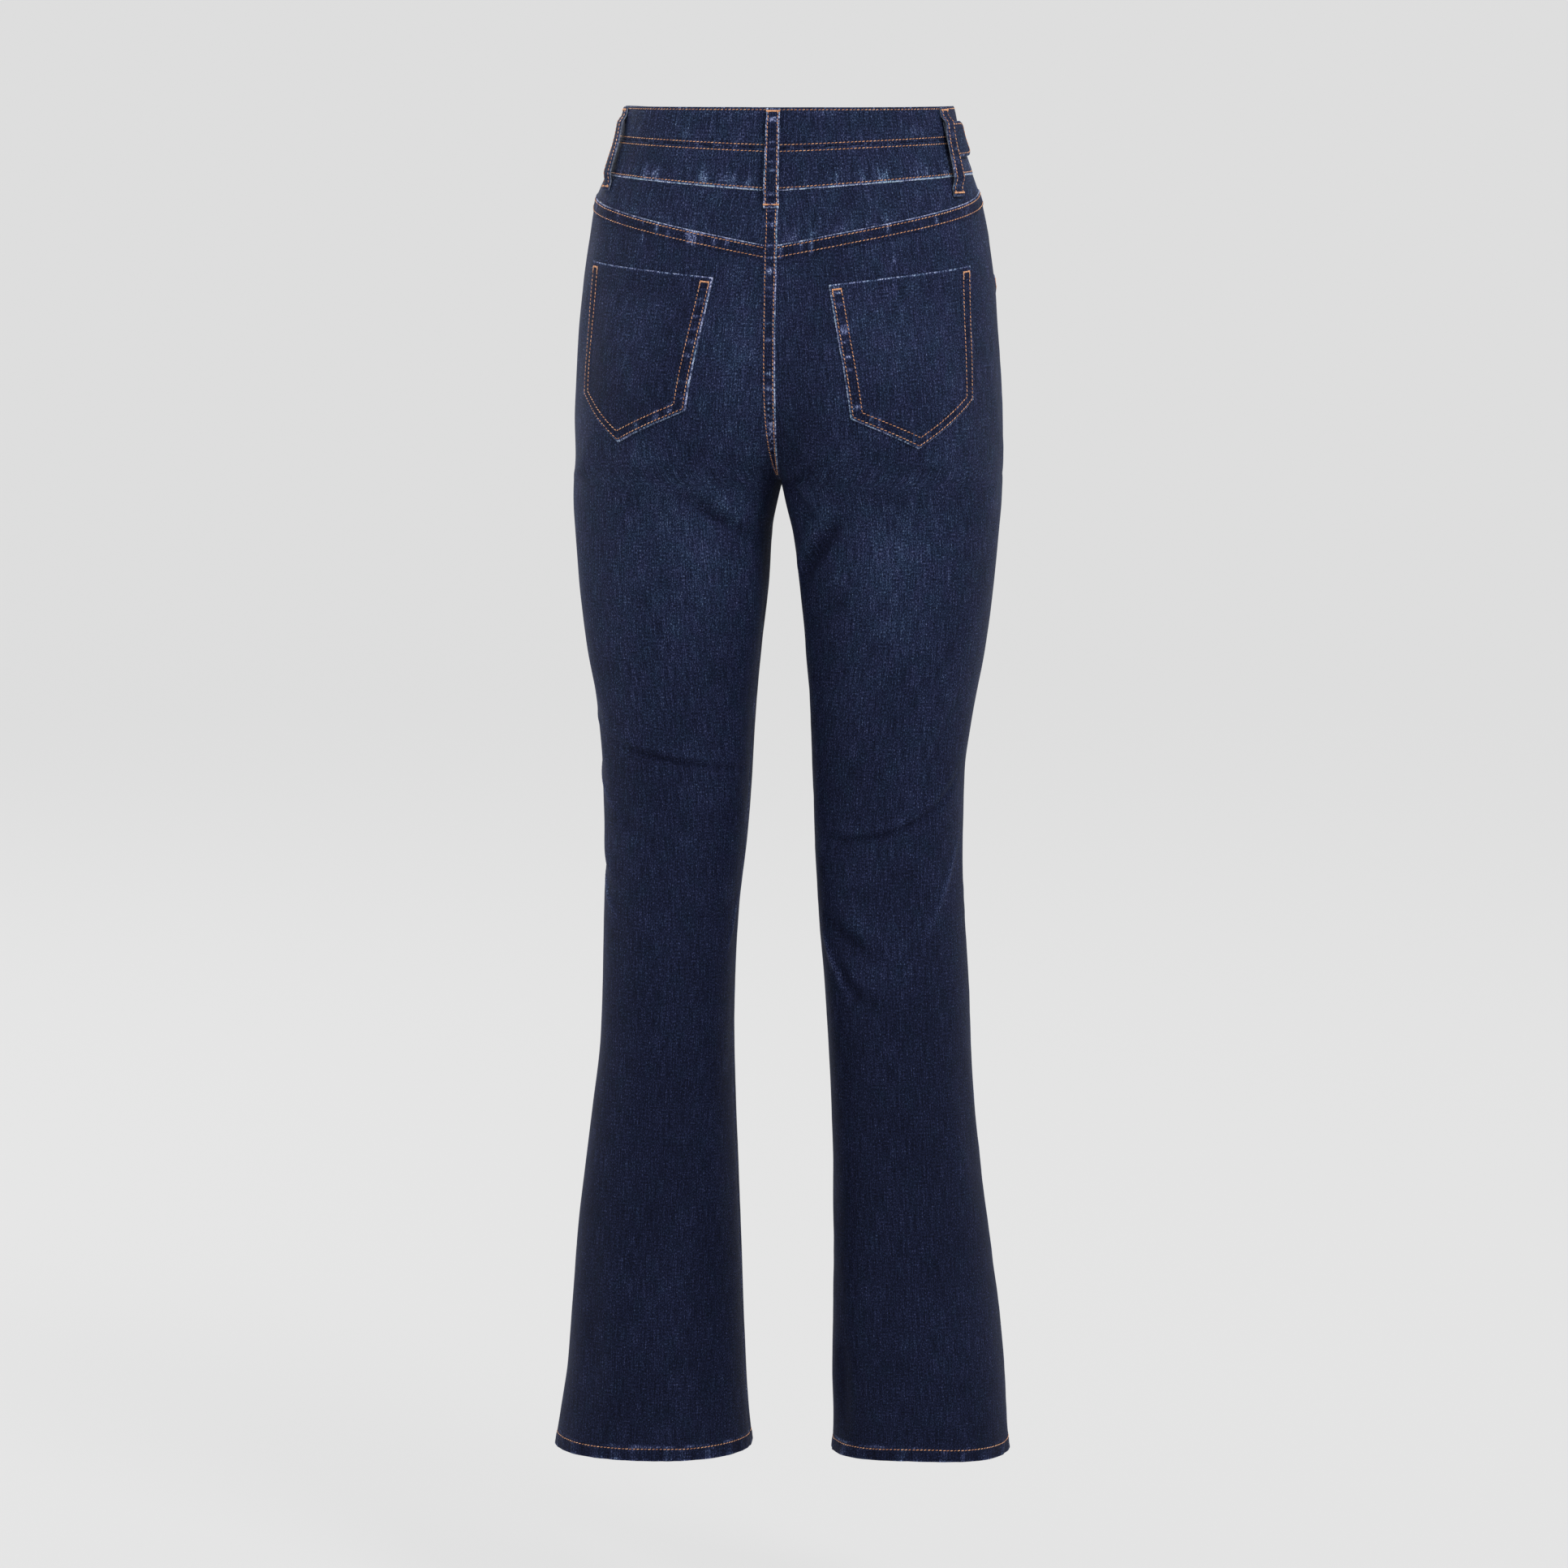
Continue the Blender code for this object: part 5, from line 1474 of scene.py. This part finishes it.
def denim(name, shift=0.0):
    """Worn indigo twill. The flat places are in metres, y along the warp."""
    g = Graph(name)
    flat = g.add("ShaderNodeUVMap", uv_map="cloth").outputs["UV"]
    grain = g.noise(flat, (1150, 620, 1), 2.0, 0.75)
    slub = g.noise(flat, (950, 50, 1), 2.0, 0.60)
    weft = g.noise(flat, (90, 900, 1), 1.0, 0.55)
    cloud = g.noise(flat, (22, 14, 1), 2.0, 0.55)
    hue = g.noise(flat, (60, 45, 1), 2.0, 0.60)
    parts = g.add("ShaderNodeSeparateXYZ", {0: flat}).outputs
    twill = g.math("SINE", g.total(((parts[0], 6300.0), (parts[1], 4100.0))))
    # Wear, and the painted highlight along the legs' thin ridges, show on the raised threads
    # first
    worn = g.math("MULTIPLY", g.value("wear_and_highlight"), g.math("ADD", grain, 0.22))
    # Besides faded indigo, the fade values carry painted shade, and the wear values carry a
    # painted highlight
    level = g.total(((grain, 1.25), (slub, 0.50), (weft, 0.14), (cloud, 0.12), (twill, 0.016),
                     (g.value("fade_and_shade"), 0.075), (worn, 0.66)))
    colour = g.ramp(g.math("ADD", level, -0.548 + shift), DENIM_STOPS)
    tinted = g.mix(colour, g.ramp(g.total(((g.value("fade_and_shade"), 0.10),), hue), TINT_STOPS))
    wrong_side = g.ramp(grain, WRONG_SIDE_STOPS)
    relief = g.total(((grain, 0.55), (slub, 0.30), (twill, 0.10)))
    g.shade({
        "Base Color": g.mix(tinted, wrong_side, g.value("lining"), "MIX"),
        "Roughness": g.total(((grain, 0.16),), 0.74),
        "Specular IOR Level": 0.08,
        "Sheen Weight": 0.05,
        "Sheen Roughness": 0.25,
        "Sheen Tint": (0.50, 0.58, 0.90, 1),
        "Normal": g.bump(relief, 0.6, 0.00035),
    })
    return g.material


def thread_material():
    """Tan orange topstitching thread, each stitch a little lighter or darker."""
    g = Graph("topstitching_thread")
    fibre = g.noise(g.add("ShaderNodeTexCoord").outputs["Object"], (2600, 2600, 2600), 2.0, 0.6)
    g.shade({
        "Base Color": g.mix(g.ramp(g.value("tone"), THREAD_STOPS), g.ramp(fibre, FIBRE_STOPS),
                            0.55),
        "Roughness": g.total(((fibre, 0.2),), 0.45),
        "Sheen Weight": 0.15,
        "Normal": g.bump(fibre, 0.4, 0.00015),
    })
    return g.material


def metal_material():
    """Aged copper plating, darker and duller in patches."""
    g = Graph("aged_copper")
    place = g.add("ShaderNodeTexCoord").outputs["Object"]
    patch = g.noise(place, (420, 420, 420), 4.0, 0.6)
    fine = g.noise(place, (2400, 2400, 2400), 2.0, 0.5)
    g.shade({
        "Base Color": g.ramp(patch, COPPER_STOPS),
        "Metallic": 1.0,
        "Roughness": g.total(((patch, 0.34),), 0.20),
        "Normal": g.bump(fine, 0.25, 0.0001),
    })
    return g.material


# Stage, lights and camera

def build_stage():
    """A pale floor that curves up into a pale backdrop all round."""
    turn = np.linspace(0, np.pi / 2, 13)[1:]
    radius = np.concatenate([[0.01, 3.0, 7.5], 7.5 + 2.5 * np.sin(turn), [10.0]])
    height = np.concatenate([[0, 0, 0], 2.5 * (1 - np.cos(turn)), [9.0]]) + FLOOR_Z
    angle = 2 * np.pi * np.arange(FLOOR_SIDES) / FLOOR_SIDES
    points = np.stack([radius[:, None] * np.cos(angle), radius[:, None] * np.sin(angle),
                       np.repeat(height[:, None], FLOOR_SIDES, axis=1)], -1).reshape(-1, 3)
    faces = turned_faces(len(radius), FLOOR_SIDES)[0].tolist()
    mesh = bpy.data.meshes.new("backdrop")
    mesh.from_pydata(points.tolist(), [], faces + [list(range(FLOOR_SIDES))[::-1]])
    mesh.shade_smooth()
    g = Graph("pale_backdrop")
    g.shade({"Base Color": (0.06, 0.06, 0.06, 1), "Roughness": 1.0, "Specular IOR Level": 0.0,
             "Emission Color": (1, 1, 1, 1), "Emission Strength": 0.68})
    mesh.materials.append(g.material)
    add_object("backdrop", mesh)


def aim(made, place, target_z):
    """Puts a light or the camera at a place, turned towards a level on the middle line."""
    made.location = place
    towards = Vector((0, 0, target_z)) - made.location
    made.rotation_euler = towards.to_track_quat("-Z", "Y").to_euler()


# Name, place, size, power
LIGHTS = (
    ("key", (-2.4, 2.8, 3.2), 1.3, 190.0),
    ("fill", (3.0, 3.0, 0.2), 2.4, 22.0),
    ("rim_left", (3.4, -0.4, 0.4), 1.6, 54.0),
    ("rim_right", (-3.4, -0.6, 0.2), 1.6, 8.0),
    ("front_key", (2.7, -3.3, 2.2), 1.6, 140.0),
    ("front_fill", (-3.0, -3.0, 0.2), 2.4, 30.0),
)


def build_lights():
    for name, place, size, power in LIGHTS:
        lamp = bpy.data.lights.new(name, "AREA")
        lamp.shape = "DISK"
        lamp.size = size
        lamp.energy = power
        aim(add_object(name, lamp), place, LIGHTS_AIM_Z)
    world = bpy.data.worlds.new("soft_room")
    world.use_nodes = True
    back = world.node_tree.nodes["Background"]
    back.inputs["Color"].default_value = (BACKDROP, BACKDROP, BACKDROP, 1)
    back.inputs["Strength"].default_value = 1.0
    bpy.context.scene.world = world


def build_camera():
    """The photograph's view: from behind, a little to the wearer's right of the middle."""
    camera = bpy.data.cameras.new("camera")
    camera.lens = LENS
    camera.sensor_width = 36.0
    camera.shift_x = SHIFT_X
    made = add_object("camera", camera)
    aim(made, CAMERA_PLACE, CAMERA_AIM_Z)
    bpy.context.scene.camera = made


def main():
    for old in list(bpy.data.objects):
        bpy.data.objects.remove(old, do_unlink=True)
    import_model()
    bpy.context.scene.view_settings.view_transform = "Standard"
    halves = {side: Half(side) for side in ("left", "right")}
    panel = denim("indigo_denim")
    band = denim("waistband_denim")
    trim = denim("trim_denim", 0.004)
    thread = thread_material()
    metal = metal_material()
    for half in halves.values():
        build_back(half, panel)
        build_front(half, panel)
        build_yoke(half, panel)
        build_facing(half, trim)
        build_back_pocket(half, trim)
    for tier in TIERS:
        build_band(halves, tier, band)
    build_seat_strip(halves, "seat_seam_back", BAND_LOW["back"] - SEAM_GAP, False, panel)
    build_seat_strip(halves, "seat_seam_front", FLY_BOTTOM_Z - 0.002, True, panel)
    build_fly_edge(halves, panel)
    build_fly_shield(halves, trim)
    for seed, name in enumerate(LOOPS):
        build_loop(halves, name, seed, trim)
    build_tab(halves["right"], trim)
    for tier, (top, low, *_) in TIERS.items():
        build_button(halves["left"], "button_" + tier, (top["front"] + low["front"]) / 2, metal)
    for seed, (name, work) in enumerate((
            ("stitches_waist", (sew_waist, sew_buttonholes, sew_loops, sew_tab)),
            ("stitches_seat", (sew_seat, sew_pockets)),
            ("stitches_front", (sew_front,)),
            ("stitches_legs", (sew_hems,))), 1):
        sewing = Thread(name, seed)
        for job in work:
            job(halves, sewing)
        sewing.build(thread)
    build_stage()
    build_lights()
    build_camera()


main()
